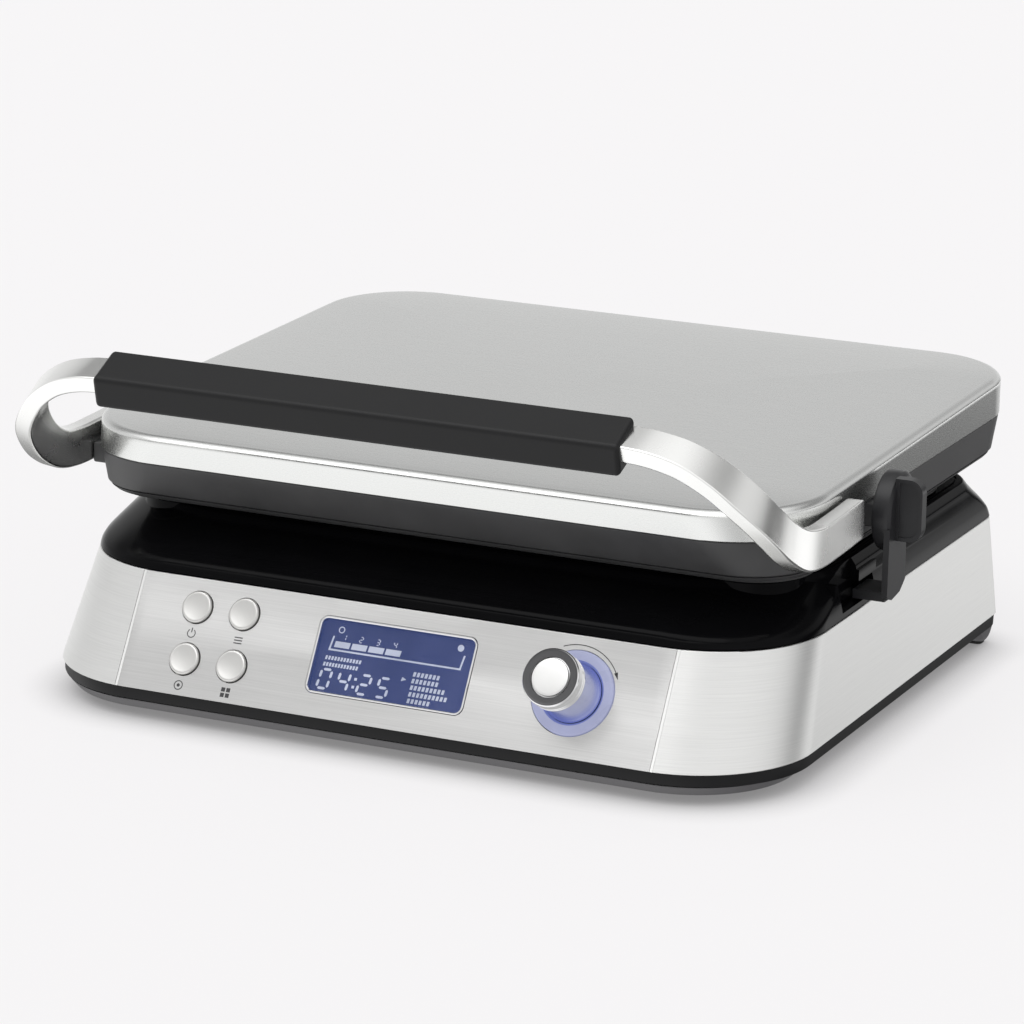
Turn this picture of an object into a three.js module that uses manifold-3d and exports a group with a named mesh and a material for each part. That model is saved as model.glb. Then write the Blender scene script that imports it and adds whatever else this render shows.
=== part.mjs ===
// Electric waffle maker: a steel-wrapped base with a sloped control panel, and a hinged lid
// with a bent handle and a side latch. Millimetres, +Z up, the front faces -Y.
import * as THREE from "three";
import { mergeVertices } from "three/addons/utils/BufferGeometryUtils.js";
import Module from "manifold-3d";

const wasm = await Module();
wasm.setup();

// ---------------------------------------------------------------- driving dimensions
const GAP = 0.3; // clearance between pieces that touch
const CORNER_STEPS = 6; // facets in a quarter-round corner
const ROUND_STEPS = 16; // facets round a small turned piece
const FINE_STEPS = 36; // and round a large one

// The origin is the middle of the whole footprint. The latch grip and the handle make the
// footprint lopsided, so the machine's own centre plane and centre depth sit a little off it.
const CENTRE_X = -8.3;
const CENTRE_Y = -4.5;

// Steel band round the base, bottom and top outline.
const STEEL = 1.2;
const BAND_BOTTOM = { z: 15, half: 181.3, front: -149.45, rear: 149.5, frontR: 55.5, rearR: 8 };
const BAND_TOP = { z: 61.75, half: 176, front: -122.25, rear: 149.5, frontR: 53.6, rearR: 8 };
const SEAM_X = 130; // the front panel ends here on both sides
const FRONT_REGION = -80; // and the seams lie in front of this depth

// Mains inlet and cooling slots in the rear wall.
const INLET = { x: -118, z: 36, bore: 6.2 };
const SLOTS = { count: 9, x: 20, pitch: 12, wide: 5, low: 30, high: 48 };

// Control panel features, measured along the slope: u across, v up from the bottom edge.
const PANEL_TILT = Math.atan2(BAND_TOP.z - BAND_BOTTOM.z, BAND_TOP.front - BAND_BOTTOM.front);
const DISPLAY = { u: 0, v: 28.45, wide: 74.5, high: 33, r: 3 };
const BEZEL_EDGE = 1; // width of the bright frame round the display
const BUTTON = {
  r: 7.3,
  proud: 1.6,
  dish: 0.7,
  slit: 0.45,
  flange: { r: 8.9, back: -3.6, front: -2.6 },
  stem: { r: 3, foot: -5.4 },
  us: [-99.4, -75.8],
  vs: [40.7, 16.7],
};
const KNOB = { u: 86.9, v: 28.56, r: 13, ringR: 19, ringInnerR: 14.3, length: 27.6, shaftR: 3, discR: 8.7 };
const CONTROL_BOARD = { u: -4, v: 28.3, wide: 216, high: 32, back: -9.2, front: -7.6 };
const PANEL_HOLE = { low: -4, high: 4 }; // reach of the cutters below and above the panel's face

// Base housing above the steel band.
const WALL = 2.6;
const RIM_Z = 80; // foot of the rim bevel
const DECK_Z = 83.3; // flat top that carries the lower plate
const PANEL_WINDOW = { half: 116, front: -170, rear: -105, low: 18, high: 58 }; // open behind the panel
const WELL = { half: 162, front: -83.5, rear: 118, r: 24 }; // opening for the lower plate

// Notch in the right shoulder with a covered pocket behind it, where the latch toe sits.
const CATCH = { front: -48, ledge: -24, rear: -8, floor: 64.6, roof: 73, depth: 169.5, ramp: 0.6 };

// Cooking plates: four waffles, two by two.
const CELL = 22; // pitch of the waffle grid
const CELLS = { across: 6, deep: 4 };
const PIN = { root: 15, tip: 13 };
const WAFFLE_GAP = 10; // ridge between two waffles
const PLATE_MID_Y = 17.2;
const LOWER_TOP = 85.5;
const UPPER_BOTTOM = 86.3;
const POCKET = 12.5; // depth of one waffle pocket
const PIN_HIGH = 10;
const PLATE_SCREWS = [[-147, -70], [147, -70], [-147, 104], [147, 104]];
const PLATE_DEPTH = 15.5; // from the plate's face to its underside
const HEATER_R = 3.2;

// Hinge at the back.
const HINGE = { y: 159.5, z: 79, x: 112.3, r: 6.5, pinR: 3, tongue: 10 };

// Lid.
const FRAME_BOTTOM_Z = 88;
const LID_SPLIT_Z = 108.8; // plastic frame below, metal shell above
const LID_FRONT_TOP = 122.5;
const LID_RISE = 0.0213; // the top climbs towards the back
const SHELL = 2;

// Handle.
const BAR = { wide: 18, thick: 8 };
const GRIP_HALF = 123.5;
const GRIP = { y: -168.2, z: 160.6, tilt: THREE.MathUtils.degToRad(24) };
const GRIP_CORE = 100; // half length of the steel strip inside the grip
const GRIP_PROFILE = [
  [-160.4, 157],
  [-162, 154.2],
  [-173.6, 149.4],
  [-175.6, 150.6],
  [-178, 161.6],
  [-176.8, 164],
  [-162.4, 171.3],
  [-160, 170],
];
const ARM_X = 181; // middle of the arm beside the lid
const ARM_END_Y = -50;

// Latch on the right side of the lid.
const LATCH = { y: -14.5, z: 104.5, r: 18, pinR: 3, inner: 181, face: 187.2, outer: 190 };
const FIN = { x: 201.7, front: -24, rear: -18.5, low: 93.5, high: 121.5, r: 6 };

// ---------------------------------------------------------------- materials
const material = (color, roughness, metalness) =>
  new THREE.MeshStandardMaterial({ color, roughness, metalness });
const STEEL_BRUSHED = material(0xc9c9c7, 0.38, 1);
const LID_SILVER = material(0xc4c5c3, 0.42, 0.9);
const CAST_SATIN = material(0xcfcfcc, 0.3, 1);
const CHROME = material(0xd8d8d8, 0.08, 1);
const GLOSS_BLACK = material(0x0b0b0d, 0.12, 0);
const MATTE_BLACK = material(0x26262a, 0.5, 0);
const RUBBER = material(0x17171a, 0.9, 0);
const NONSTICK = material(0x2c2c2e, 0.45, 0.3);
const SHEET_METAL = material(0xb5b6b8, 0.35, 1);
const HEATER_STEEL = material(0x5b5552, 0.5, 0.9);
const DISPLAY_BLUE = material(0x26356f, 0.15, 0);
const CLEAR_LENS = material(0x33407a, 0.05, 0);
const GLOW_BLUE = material(0x8b93d6, 0.3, 0);
const BOARD_GREEN = material(0x1e4a2c, 0.6, 0);

// ---------------------------------------------------------------- geometry helpers
function toSolid(geometry) {
  const bare = geometry.index ? geometry.toNonIndexed() : geometry.clone();
  bare.deleteAttribute("normal");
  bare.deleteAttribute("uv");
  const merged = mergeVertices(bare, 1e-4);
  return new wasm.Manifold(
    new wasm.Mesh({
      numProp: 3,
      vertProperties: merged.attributes.position.array,
      triVerts: new Uint32Array(merged.index.array),
    }),
  );
}

function toGeometry(solid) {
  const mesh = solid.getMesh();
  const geometry = new THREE.BufferGeometry();
  geometry.setAttribute("position", new THREE.BufferAttribute(mesh.vertProperties, 3));
  geometry.setIndex(new THREE.BufferAttribute(mesh.triVerts, 1));
  geometry.computeVertexNormals();
  return geometry;
}

const join = (...parts) => toGeometry(parts.map(toSolid).reduce((a, b) => a.add(b)));
const cut = (body, ...tools) =>
  toGeometry(tools.map(toSolid).reduce((a, b) => a.subtract(b), toSolid(body)));
const overlap = (a, b) => toGeometry(toSolid(a).intersect(toSolid(b)));

// A box given by its two corners.
function box(x0, x1, y0, y1, z0, z1) {
  return new THREE.BoxGeometry(x1 - x0, y1 - y0, z1 - z0).translate(
    (x0 + x1) / 2,
    (y0 + y1) / 2,
    (z0 + z1) / 2,
  );
}

// An upright cylinder from z0 to z1.
const post = (x, y, z0, z1, r, steps = ROUND_STEPS) =>
  new THREE.CylinderGeometry(r, r, z1 - z0, steps)
    .rotateX(Math.PI / 2)
    .translate(x, y, (z0 + z1) / 2);

// A cylinder along X from x0 to x1.
const rod = (x0, x1, y, z, r, steps = ROUND_STEPS) =>
  new THREE.CylinderGeometry(r, r, x1 - x0, steps)
    .rotateZ(-Math.PI / 2)
    .translate((x0 + x1) / 2, y, z);

// A cylinder along Y from y0 to y1.
const rodY = (x, z, y0, y1, r, steps = ROUND_STEPS) =>
  new THREE.CylinderGeometry(r, r, y1 - y0, steps).translate(x, (y0 + y1) / 2, z);

// Rounded rectangle as a ring of points, counter-clockwise from above.
function outline({ half, front, rear, frontR, rearR }, heightAt) {
  const corners = [
    [half - frontR, front + frontR, frontR, -90],
    [half - rearR, rear - rearR, rearR, 0],
    [rearR - half, rear - rearR, rearR, 90],
    [frontR - half, front + frontR, frontR, 180],
  ];
  const ring = [];
  for (const [cx, cy, r, start] of corners) {
    for (let i = 0; i <= CORNER_STEPS; i += 1) {
      const angle = THREE.MathUtils.degToRad(start + (90 * i) / CORNER_STEPS);
      const x = cx + r * Math.cos(angle);
      const y = cy + r * Math.sin(angle);
      ring.push(new THREE.Vector3(x, y, heightAt(x, y)));
    }
  }
  return ring;
}

const level = (shape) => outline(shape, () => shape.z);

// The same outline pulled in by d on every side.
const inset = (shape, d) => ({
  ...shape,
  half: shape.half - d,
  front: shape.front + d,
  rear: shape.rear - d,
  frontR: Math.max(shape.frontR - d, 1),
  rearR: Math.max(shape.rearR - d, 1),
});

// A closed body through a stack of rings with equal point counts, bottom ring first.
function loft(rings) {
  const count = rings[0].length;
  const points = rings.flat();
  const faces = [];
  for (let k = 0; k + 1 < rings.length; k += 1) {
    for (let i = 0; i < count; i += 1) {
      const a = k * count + i;
      const b = k * count + ((i + 1) % count);
      faces.push(a, b, b + count, a, b + count, a + count);
    }
  }
  const middle = (ring) =>
    ring.reduce((sum, p) => sum.add(p), new THREE.Vector3()).divideScalar(count);
  const bottom = points.push(middle(rings[0])) - 1;
  const top = points.push(middle(rings[rings.length - 1])) - 1;
  const last = (rings.length - 1) * count;
  for (let i = 0; i < count; i += 1) {
    const next = (i + 1) % count;
    faces.push(bottom, next, i, top, last + i, last + next);
  }
  const geometry = new THREE.BufferGeometry().setFromPoints(points);
  geometry.setIndex(faces);
  return geometry;
}

// A rounded rectangle slab between two heights.
const slab = (shape, z0, z1) => loft([level({ ...shape, z: z0 }), level({ ...shape, z: z1 })]);

// A flat profile in the YZ plane, extruded along X from x0 to x1.
function extrudeX(profile, x0, x1) {
  const shape = new THREE.Shape(profile.map(([y, z]) => new THREE.Vector2(y, z)));
  const geometry = new THREE.ExtrudeGeometry(shape, { depth: x1 - x0, bevelEnabled: false });
  // The extrusion runs along Z: turn (x, y, z) into (z, x, y).
  geometry.applyMatrix4(new THREE.Matrix4().set(0, 0, 1, x0, 1, 0, 0, 0, 0, 1, 0, 0, 0, 0, 0, 1));
  return geometry;
}

// A rounded rectangle in the panel's plane.
function panelShape(u, v, wide, high, r) {
  const x = wide / 2;
  const y = high / 2;
  const shape = new THREE.Shape();
  shape.moveTo(u - x + r, v - y);
  shape.lineTo(u + x - r, v - y);
  shape.absarc(u + x - r, v - y + r, r, -Math.PI / 2, 0);
  shape.lineTo(u + x, v + y - r);
  shape.absarc(u + x - r, v + y - r, r, 0, Math.PI / 2);
  shape.lineTo(u - x + r, v + y);
  shape.absarc(u - x + r, v + y - r, r, Math.PI / 2, Math.PI);
  shape.lineTo(u - x, v - y + r);
  shape.absarc(u - x + r, v - y + r, r, Math.PI, 1.5 * Math.PI);
  return shape;
}

const panelSlab = (shape, w0, w1) =>
  new THREE.ExtrudeGeometry(shape, { depth: w1 - w0, bevelEnabled: false, curveSegments: 5 })
    .translate(0, 0, w0);

// A turned piece about the panel's normal at (u, v); the profile runs [radius, height].
const panelTurned = (u, v, profile, steps = ROUND_STEPS) =>
  new THREE.LatheGeometry(profile.map(([r, h]) => new THREE.Vector2(r, h)), steps)
    .rotateX(Math.PI / 2)
    .translate(u, v, 0);

// The profile of a plain disc for a turned piece.
const disc = (r, low, high) => [[0, low], [r, low], [r, high], [0, high]];

// The display's outline, grown by d on every side.
const displayShape = (d) =>
  panelShape(DISPLAY.u, DISPLAY.v, DISPLAY.wide + 2 * d, DISPLAY.high + 2 * d, DISPLAY.r + Math.max(d, 0));

// ---------------------------------------------------------------- the assembly
const machine = new THREE.Group();
machine.position.set(CENTRE_X, CENTRE_Y, 0);

// The panel group: X across, Y up the slope, Z out of the panel, zero at the bottom edge.
const panel = new THREE.Group();
panel.position.set(0, BAND_BOTTOM.front, BAND_BOTTOM.z);
panel.rotation.x = PANEL_TILT;
machine.add(panel);
panel.updateMatrix();

function add(name, geometry, finish, parent = machine) {
  const mesh = new THREE.Mesh(geometry, finish);
  mesh.name = name;
  parent.add(mesh);
  return mesh;
}

// ---------------------------------------------------------------- base
// The steel band as one ring; the front stretch becomes the control panel.
function steelBand() {
  const slopeT = STEEL / Math.sin(PANEL_TILT);
  const inner = (shape, dz) => ({
    ...inset(shape, STEEL),
    front: shape.front + slopeT,
    z: shape.z + dz,
  });
  const outer = loft([level(BAND_BOTTOM), level(BAND_TOP)]);
  const hollow = loft([
    level(inner(BAND_BOTTOM, -0.01)),
    level(inner(BAND_TOP, 0.01)),
  ]);
  return cut(outer, hollow);
}

function controlPanel(band) {
  const half = SEAM_X - GAP;
  const front = overlap(band, box(-half, half, -200, FRONT_REGION, 0, 100));
  const holes = [
    panelSlab(displayShape(BEZEL_EDGE + GAP), PANEL_HOLE.low, PANEL_HOLE.high),
    panelTurned(KNOB.u, KNOB.v, disc(KNOB.ringR + GAP, PANEL_HOLE.low, PANEL_HOLE.high), FINE_STEPS),
  ];
  for (const u of BUTTON.us) {
    for (const v of BUTTON.vs) {
      holes.push(panelTurned(u, v, disc(BUTTON.r + BUTTON.slit, PANEL_HOLE.low, PANEL_HOLE.high)));
    }
  }
  return cut(front, ...holes.map((hole) => hole.applyMatrix4(panel.matrix)));
}

function steelWrap(band) {
  const slots = [];
  for (let i = 0; i < SLOTS.count; i += 1) {
    const x = SLOTS.x + i * SLOTS.pitch;
    slots.push(box(x, x + SLOTS.wide, 140, 160, SLOTS.low, SLOTS.high));
  }
  return cut(
    band,
    box(-SEAM_X - GAP, SEAM_X + GAP, -200, FRONT_REGION, 0, 100),
    rodY(INLET.x, INLET.z, 140, 160, INLET.bore + GAP),
    ...slots,
  );
}

// Outer skin of the black housing: hidden behind the steel, then a short upright lip, the
// long sloping shoulder and the bevelled rim.
const HOUSING_RINGS = [
  { z: 15.3, half: 179.6, front: -147.6, rear: 147.9, frontR: 53.9, rearR: 6.5 },
  { z: 62.05, half: 174.3, front: -120.4, rear: 147.9, frontR: 52, rearR: 6.5 },
  { z: 62.05, half: 176, front: -122.1, rear: 149.5, frontR: 53.6, rearR: 8 },
  { z: 65.6, half: 175.8, front: -121.8, rear: 149.4, frontR: 53.8, rearR: 9 },
  { z: 67.6, half: 175.2, front: -119.2, rear: 149.1, frontR: 56.4, rearR: 11 },
  { z: 72, half: 174.1, front: -109.9, rear: 148.2, frontR: 60.5, rearR: 17 },
  { z: 76, half: 173, front: -101.1, rear: 146.8, frontR: 64, rearR: 23 },
  { z: RIM_Z, half: 172, front: -92, rear: 144.9, frontR: 66, rearR: 28 },
  { z: DECK_Z, half: 169.6, front: -89.4, rear: 142.6, frontR: 63, rearR: 26 },
];

function baseHousing() {
  const outer = loft(HOUSING_RINGS.map(level));
  const inner = [
    { ...inset(HOUSING_RINGS[0], WALL), z: 15 },
    { ...inset(HOUSING_RINGS[1], WALL), z: 62 },
  ];
  for (const ring of HOUSING_RINGS.slice(3)) {
    inner.push({ ...inset(ring, WALL + 1), z: Math.min(ring.z - 0.8, DECK_Z - WALL) });
  }
  const hollow = loft(inner.map(level));
  const well = slab({ ...WELL, frontR: WELL.r, rearR: WELL.r }, 70, 90);
  // Solid block behind the latch catch, so that the notch doesn't open the wall.
  const block = overlap(outer, box(WELL.half + 1, 180, CATCH.front - 5, CATCH.rear + 5, 58, 81));
  const notch = box(CATCH.depth, 190, CATCH.front, CATCH.ledge, CATCH.floor, 90);
  const pocket = box(CATCH.depth, 190, CATCH.ledge - 1, CATCH.rear, CATCH.floor, CATCH.roof);
  const w = PANEL_WINDOW;
  const ramp = new THREE.BoxGeometry(40, 14, 26)
    .rotateX(-CATCH.ramp)
    .translate(CATCH.depth + 20, CATCH.front + 1, DECK_Z + 1);
  return cut(
    join(cut(outer, hollow, well), block),
    notch,
    ramp,
    pocket,
    box(-w.half, w.half, w.front, w.rear, w.low, w.high),
    rodY(INLET.x, INLET.z, 130, 160, INLET.bore + 1),
    box(SLOTS.x - 2, SLOTS.x + SLOTS.count * SLOTS.pitch - 4, 130, 160, SLOTS.low - 2, SLOTS.high + 2),
  );
}

// Shallow tray that closes the base from below, with a leg under each rear corner. The legs
// taper down to a short sole near the rear wall.
const LEG_X = 168;
const LEG_RINGS = [
  { z: 1.4, half: 9, front: 137, rear: 147, frontR: 3, rearR: 4 },
  { z: 5, half: 10.5, front: 131, rear: 148.1, frontR: 3, rearR: 5 },
  { z: 10, half: 11.8, front: 124, rear: 148.4, frontR: 3, rearR: 6 },
];
const SOLE_INSET = 1.2;
const FRONT_FOOT = { x: 140, y: -112, r: 9, high: 4.5 };
const TRAY_VENTS = { count: 8, x: -42, pitch: 12, wide: 6, half: 30 };

function bottomTray() {
  const rings = [
    { z: 4.5, half: 173.5, front: -144.5, rear: 145.5, frontR: 47, rearR: 8 },
    { z: 8.7, half: 177, front: -147.9, rear: 147.5, frontR: 50, rearR: 8 },
    { z: 9.3, half: 180.4, front: -147.6, rear: 148.6, frontR: 54, rearR: 8 },
    { z: 14.7, half: 180.7, front: -147.6, rear: 148.6, frontR: 54.5, rearR: 8 },
  ];
  const hollow = loft([
    level({ ...inset(rings[0], 4), z: 7.2 }),
    level({ ...inset(rings[3], 4), z: 15.3 }),
  ]);
  const legs = [-1, 1].map((side) => loft(LEG_RINGS.map(level)).translate(side * LEG_X, 0, 0));
  const vents = [];
  for (let i = 0; i < TRAY_VENTS.count; i += 1) {
    const x = TRAY_VENTS.x + i * TRAY_VENTS.pitch;
    vents.push(box(x, x + TRAY_VENTS.wide, -TRAY_VENTS.half, TRAY_VENTS.half, 0, 10));
  }
  return cut(join(loft(rings.map(level)), ...legs), hollow, ...vents);
}

function addBase() {
  const band = steelBand();
  add("base_housing", baseHousing(), GLOSS_BLACK);
  add("bottom_tray", bottomTray(), MATTE_BLACK);
  add("steel_wrap", steelWrap(band), STEEL_BRUSHED);
  add("control_panel", controlPanel(band), STEEL_BRUSHED);

  for (const [side, sign] of [["left", -1], ["right", 1]]) {
    const { x, y, r, high } = FRONT_FOOT;
    add(`foot_front_${side}`, post(sign * x, y, 0, high - GAP, r), RUBBER);
    const pad = slab(inset(LEG_RINGS[0], SOLE_INSET), 0, LEG_RINGS[0].z - GAP);
    add(`foot_rear_${side}`, pad.translate(sign * LEG_X, 0, 0), RUBBER);
  }

  // Bushing for the mains lead: a flange outside the steel, a neck through it.
  const { bore } = INLET;
  const gland = [[bore - 2.4, -13], [bore, -13], [bore, 0.3], [bore + 2.6, 0.3], [bore + 2.2, 3.2]];
  gland.push([bore - 0.4, 5.5], [bore - 2.4, 5.5], [bore - 2.4, -13]);
  const inlet = new THREE.LatheGeometry(gland.map(([r, h]) => new THREE.Vector2(r, h)), ROUND_STEPS);
  add("power_inlet", inlet, RUBBER).position.set(INLET.x, BAND_TOP.rear, INLET.z);

  // Power board by the inlet, with the mains terminals and the transformer standing on it.
  const board = 19.6;
  add("power_board", box(-150, -60, 60, 130, board - 1.6, board), BOARD_GREEN);
  add("terminal_block", box(-140, -104, 104, 124, board + GAP, 33), MATTE_BLACK);
  add("transformer", box(-96, -66, 70, 100, board + GAP, 44), SHEET_METAL);
}

// ---------------------------------------------------------------- control panel pieces
function addControls() {
  const bezel = cut(panelSlab(displayShape(BEZEL_EDGE), -2, 0.5), panelSlab(displayShape(0.1), -3, 2));
  add("display_bezel", bezel, CHROME, panel);
  add("display_window", panelSlab(displayShape(0.1 - GAP), -1.7, 0.2), CLEAR_LENS, panel);
  add("display_module", panelSlab(displayShape(2), -5.6, -2 - GAP), DISPLAY_BLUE, panel);
  const { u, v, wide, high, back, front } = CONTROL_BOARD;
  add("control_board", panelSlab(panelShape(u, v, wide, high, 1), back, front), BOARD_GREEN, panel);

  // Push buttons: a dished face, and a flange that keeps each one behind the panel.
  const names = [["button_power", "button_crisp"], ["button_menu", "button_uniform"]];
  const { r: face, proud, dish, flange, stem } = BUTTON;
  const profile = [[0, stem.foot], [stem.r, stem.foot], [stem.r, flange.back], [flange.r, flange.back]];
  profile.push([flange.r, flange.front], [face, flange.front], [face, proud - 0.7]);
  profile.push([face - 0.9, proud], [face - 3, proud - dish * 0.7], [0, proud - dish]);
  BUTTON.us.forEach((bu, i) => {
    BUTTON.vs.forEach((bv, j) => {
      add(names[i][j], panelTurned(bu, bv, profile), CAST_SATIN, panel);
    });
  });

  const ring = [[KNOB.ringInnerR, -3], [KNOB.ringR, -3], [KNOB.ringR, 0.5], [KNOB.ringR - 0.9, 1.2]];
  ring.push([KNOB.ringInnerR + 0.8, 1.2], [KNOB.ringInnerR, 0.6], [KNOB.ringInnerR, -3]);
  add("light_ring", panelTurned(KNOB.u, KNOB.v, ring, FINE_STEPS), GLOW_BLUE, panel);

  const shaft = panelTurned(KNOB.u, KNOB.v, disc(KNOB.shaftR, -4, 14));
  const can = panelSlab(panelShape(KNOB.u, KNOB.v, 13, 13, 0.5), front + GAP, -3.4);
  add("encoder", join(can, shaft), SHEET_METAL, panel);

  // Knob: waisted neck, ridged cap with a recess for its disc, and a bore for the shaft.
  const R = KNOB.r;
  const top = KNOB.length;
  const bore = KNOB.shaftR + GAP;
  const body = [[0, 15], [bore, 15], [bore, 1.5], [13.4, 1.5], [13, 3], [11.9, 9], [11.5, 16]];
  body.push([11.8, 18], [R - 0.4, 18.8], [R, 19.6], [R, 20.8], [R - 0.7, 21.4], [R, 22.2]);
  const recess = KNOB.discR + GAP;
  body.push([R, top - 0.8], [R - 0.7, top], [recess, top], [recess, top - 1.4], [0, top - 1.4]);
  add("knob", panelTurned(KNOB.u, KNOB.v, body), CHROME, panel);
  const { discR } = KNOB;
  const badge = [[0, top - 1.1], [discR, top - 1.1], [discR, top + 0.1], [discR - 0.4, top + 0.4]];
  badge.push([0, top + 0.5]);
  add("knob_disc", panelTurned(KNOB.u, KNOB.v, badge), CAST_SATIN, panel);
}

// ---------------------------------------------------------------- cooking plates
// The waffle grid seen from its open side: four pockets with tapered pins standing in them.
// up is +1 for pockets that open upwards and -1 for pockets that open downwards.
function plate(face, up, flange, body) {
  const far = (a, b) => [Math.min(a, b), Math.max(a, b)];
  const floor = face - up * POCKET;
  const thin = face - up * 1.4;
  const solid = join(
    slab({ ...flange, frontR: flange.r, rearR: flange.r }, ...far(face, thin)),
    slab({ ...body, frontR: body.r, rearR: body.r }, ...far(face - up * 0.5, face - up * PLATE_DEPTH)),
  );
  const wide = CELL * CELLS.across;
  const deep = CELL * CELLS.deep;
  const pockets = [];
  const pins = [];
  for (const sx of [-1, 1]) {
    for (const sy of [-1, 1]) {
      const cx = (sx * (wide + WAFFLE_GAP)) / 2;
      const cy = PLATE_MID_Y + (sy * (deep + WAFFLE_GAP)) / 2;
      const [z0, z1] = far(floor, face + up);
      pockets.push(box(cx - wide / 2, cx + wide / 2, cy - deep / 2, cy + deep / 2, z0, z1));
      for (let i = 0; i < CELLS.across; i += 1) {
        for (let j = 0; j < CELLS.deep; j += 1) {
          const x = cx - wide / 2 + CELL * (i + 0.5);
          const y = cy - deep / 2 + CELL * (j + 0.5);
          pins.push(pin(x, y, floor, up));
        }
      }
    }
  }
  const bores = PLATE_SCREWS.map(([x, y]) => post(x, y, ...far(face + up, face - up * 2.2), 3.4, 12));
  return join(cut(solid, ...pockets, ...bores), ...pins);
}

// One square tapered pin on a pocket floor, sunk a little into it.
function pin(x, y, floor, up) {
  const root = PIN.root / 2;
  const tip = PIN.tip / 2;
  const ring = (h, z) =>
    [[-h, -h], [h, -h], [h, h], [-h, h]].map(([dx, dy]) => new THREE.Vector3(x + dx, y + dy, z));
  const rings = [ring(root, floor - up * 0.5), ring(tip, floor + up * PIN_HIGH)];
  return loft(up > 0 ? rings : rings.reverse());
}

// A tube bent into a rounded U, with its two ends at the back.
function heater(z) {
  const half = 128;
  const front = PLATE_MID_Y - 68;
  const rear = PLATE_MID_Y + 84;
  const r = 30;
  const path = new THREE.CurvePath();
  const at = (x, y) => new THREE.Vector3(x, y, z);
  path.add(new THREE.LineCurve3(at(-half, rear), at(-half, front + r)));
  path.add(new THREE.QuadraticBezierCurve3(at(-half, front + r), at(-half, front), at(r - half, front)));
  path.add(new THREE.LineCurve3(at(r - half, front), at(half - r, front)));
  path.add(new THREE.QuadraticBezierCurve3(at(half - r, front), at(half, front), at(half, front + r)));
  path.add(new THREE.LineCurve3(at(half, front + r), at(half, rear)));
  const section = new THREE.Shape().absarc(0, 0, HEATER_R, 0, 2 * Math.PI);
  return new THREE.ExtrudeGeometry(section, {
    steps: 28,
    curveSegments: 4,
    bevelEnabled: false,
    extrudePath: path,
  });
}

// A pressed sheet pan; open side up (+1) or down (-1).
function pan(floor, up, shape) {
  const { depth } = shape;
  const sheet = 0.8;
  const zs = (a, b) => [Math.min(a, b), Math.max(a, b)];
  const round = { ...shape, frontR: shape.r, rearR: shape.r };
  return cut(
    slab(round, ...zs(floor, floor + up * depth)),
    slab(inset(round, sheet), ...zs(floor + up * sheet, floor + up * (depth + 1))),
  );
}

// Each plate hangs in its casing by a thin flange, and a pan lies behind it.
const LOWER_FLANGE = { half: 165, front: -86.6, rear: 121, r: 27 };
const UPPER_FLANGE = { half: 160.5, front: -83.5, rear: 117.9, r: 24 };
const LOWER_BODY = { half: 157.5, front: -80, rear: 114.4, r: 20 };
const UPPER_BODY = { half: 154, front: -77, rear: 111.4, r: 18 };
const LOWER_PAN = { half: 161.4, front: -82.9, rear: 117.4, r: 23.4, floor: 55, depth: 25 };
const UPPER_PAN = { half: 156.5, front: -79.5, rear: 113.9, r: 20.5, floor: 114.5, depth: 17 };
const SENSOR_R = 6;
const PLATE_SCREW = { r: 3, high: 1.6, steps: 12 };

function addPlates() {
  add("lower_plate", plate(LOWER_TOP, 1, LOWER_FLANGE, LOWER_BODY), NONSTICK);
  add("upper_plate", plate(UPPER_BOTTOM, -1, UPPER_FLANGE, UPPER_BODY), NONSTICK);
  add("lower_reflector", pan(LOWER_PAN.floor, 1, LOWER_PAN), SHEET_METAL);
  add("upper_reflector", pan(UPPER_PAN.floor, -1, UPPER_PAN), SHEET_METAL);
  const below = PLATE_DEPTH + HEATER_R + GAP;
  add("lower_heater", heater(LOWER_TOP - below), HEATER_STEEL);
  add("upper_heater", heater(UPPER_BOTTOM + below), HEATER_STEEL);
  add("lower_sensor", post(0, PLATE_MID_Y, 57, 69.6, SENSOR_R), SHEET_METAL);
  add("upper_sensor", post(0, PLATE_MID_Y, 102.2, 112, SENSOR_R), SHEET_METAL);
  add("thermal_fuse", rod(40, 62, 90, 62, 3, 12), HEATER_STEEL);

  PLATE_SCREWS.forEach(([x, y], i) => {
    const { r, high, steps } = PLATE_SCREW;
    const low = LOWER_TOP - GAP - high;
    const up = UPPER_BOTTOM + GAP;
    add(`lower_plate_screw_${i + 1}`, post(x, y, low, low + high, r, steps), SHEET_METAL);
    add(`upper_plate_screw_${i + 1}`, post(x, y, up, up + high, r, steps), SHEET_METAL);
  });
}

// ---------------------------------------------------------------- lid
const FRAME_RINGS = [
  { z: FRAME_BOTTOM_Z, half: 167, front: -99, rear: 176, frontR: 27, rearR: 30 },
  { z: FRAME_BOTTOM_Z + 1.4, half: 170.4, front: -102.2, rear: 179, frontR: 29, rearR: 33 },
  { z: FRAME_BOTTOM_Z + 4.5, half: 172.2, front: -105, rear: 181.5, frontR: 31, rearR: 35 },
  { z: LID_SPLIT_Z, half: 174.5, front: -115, rear: 187, frontR: 43, rearR: 40 },
];

const ARM_BOSS = { root: 166, front: -88, low: 98, high: 107.6 };

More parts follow.
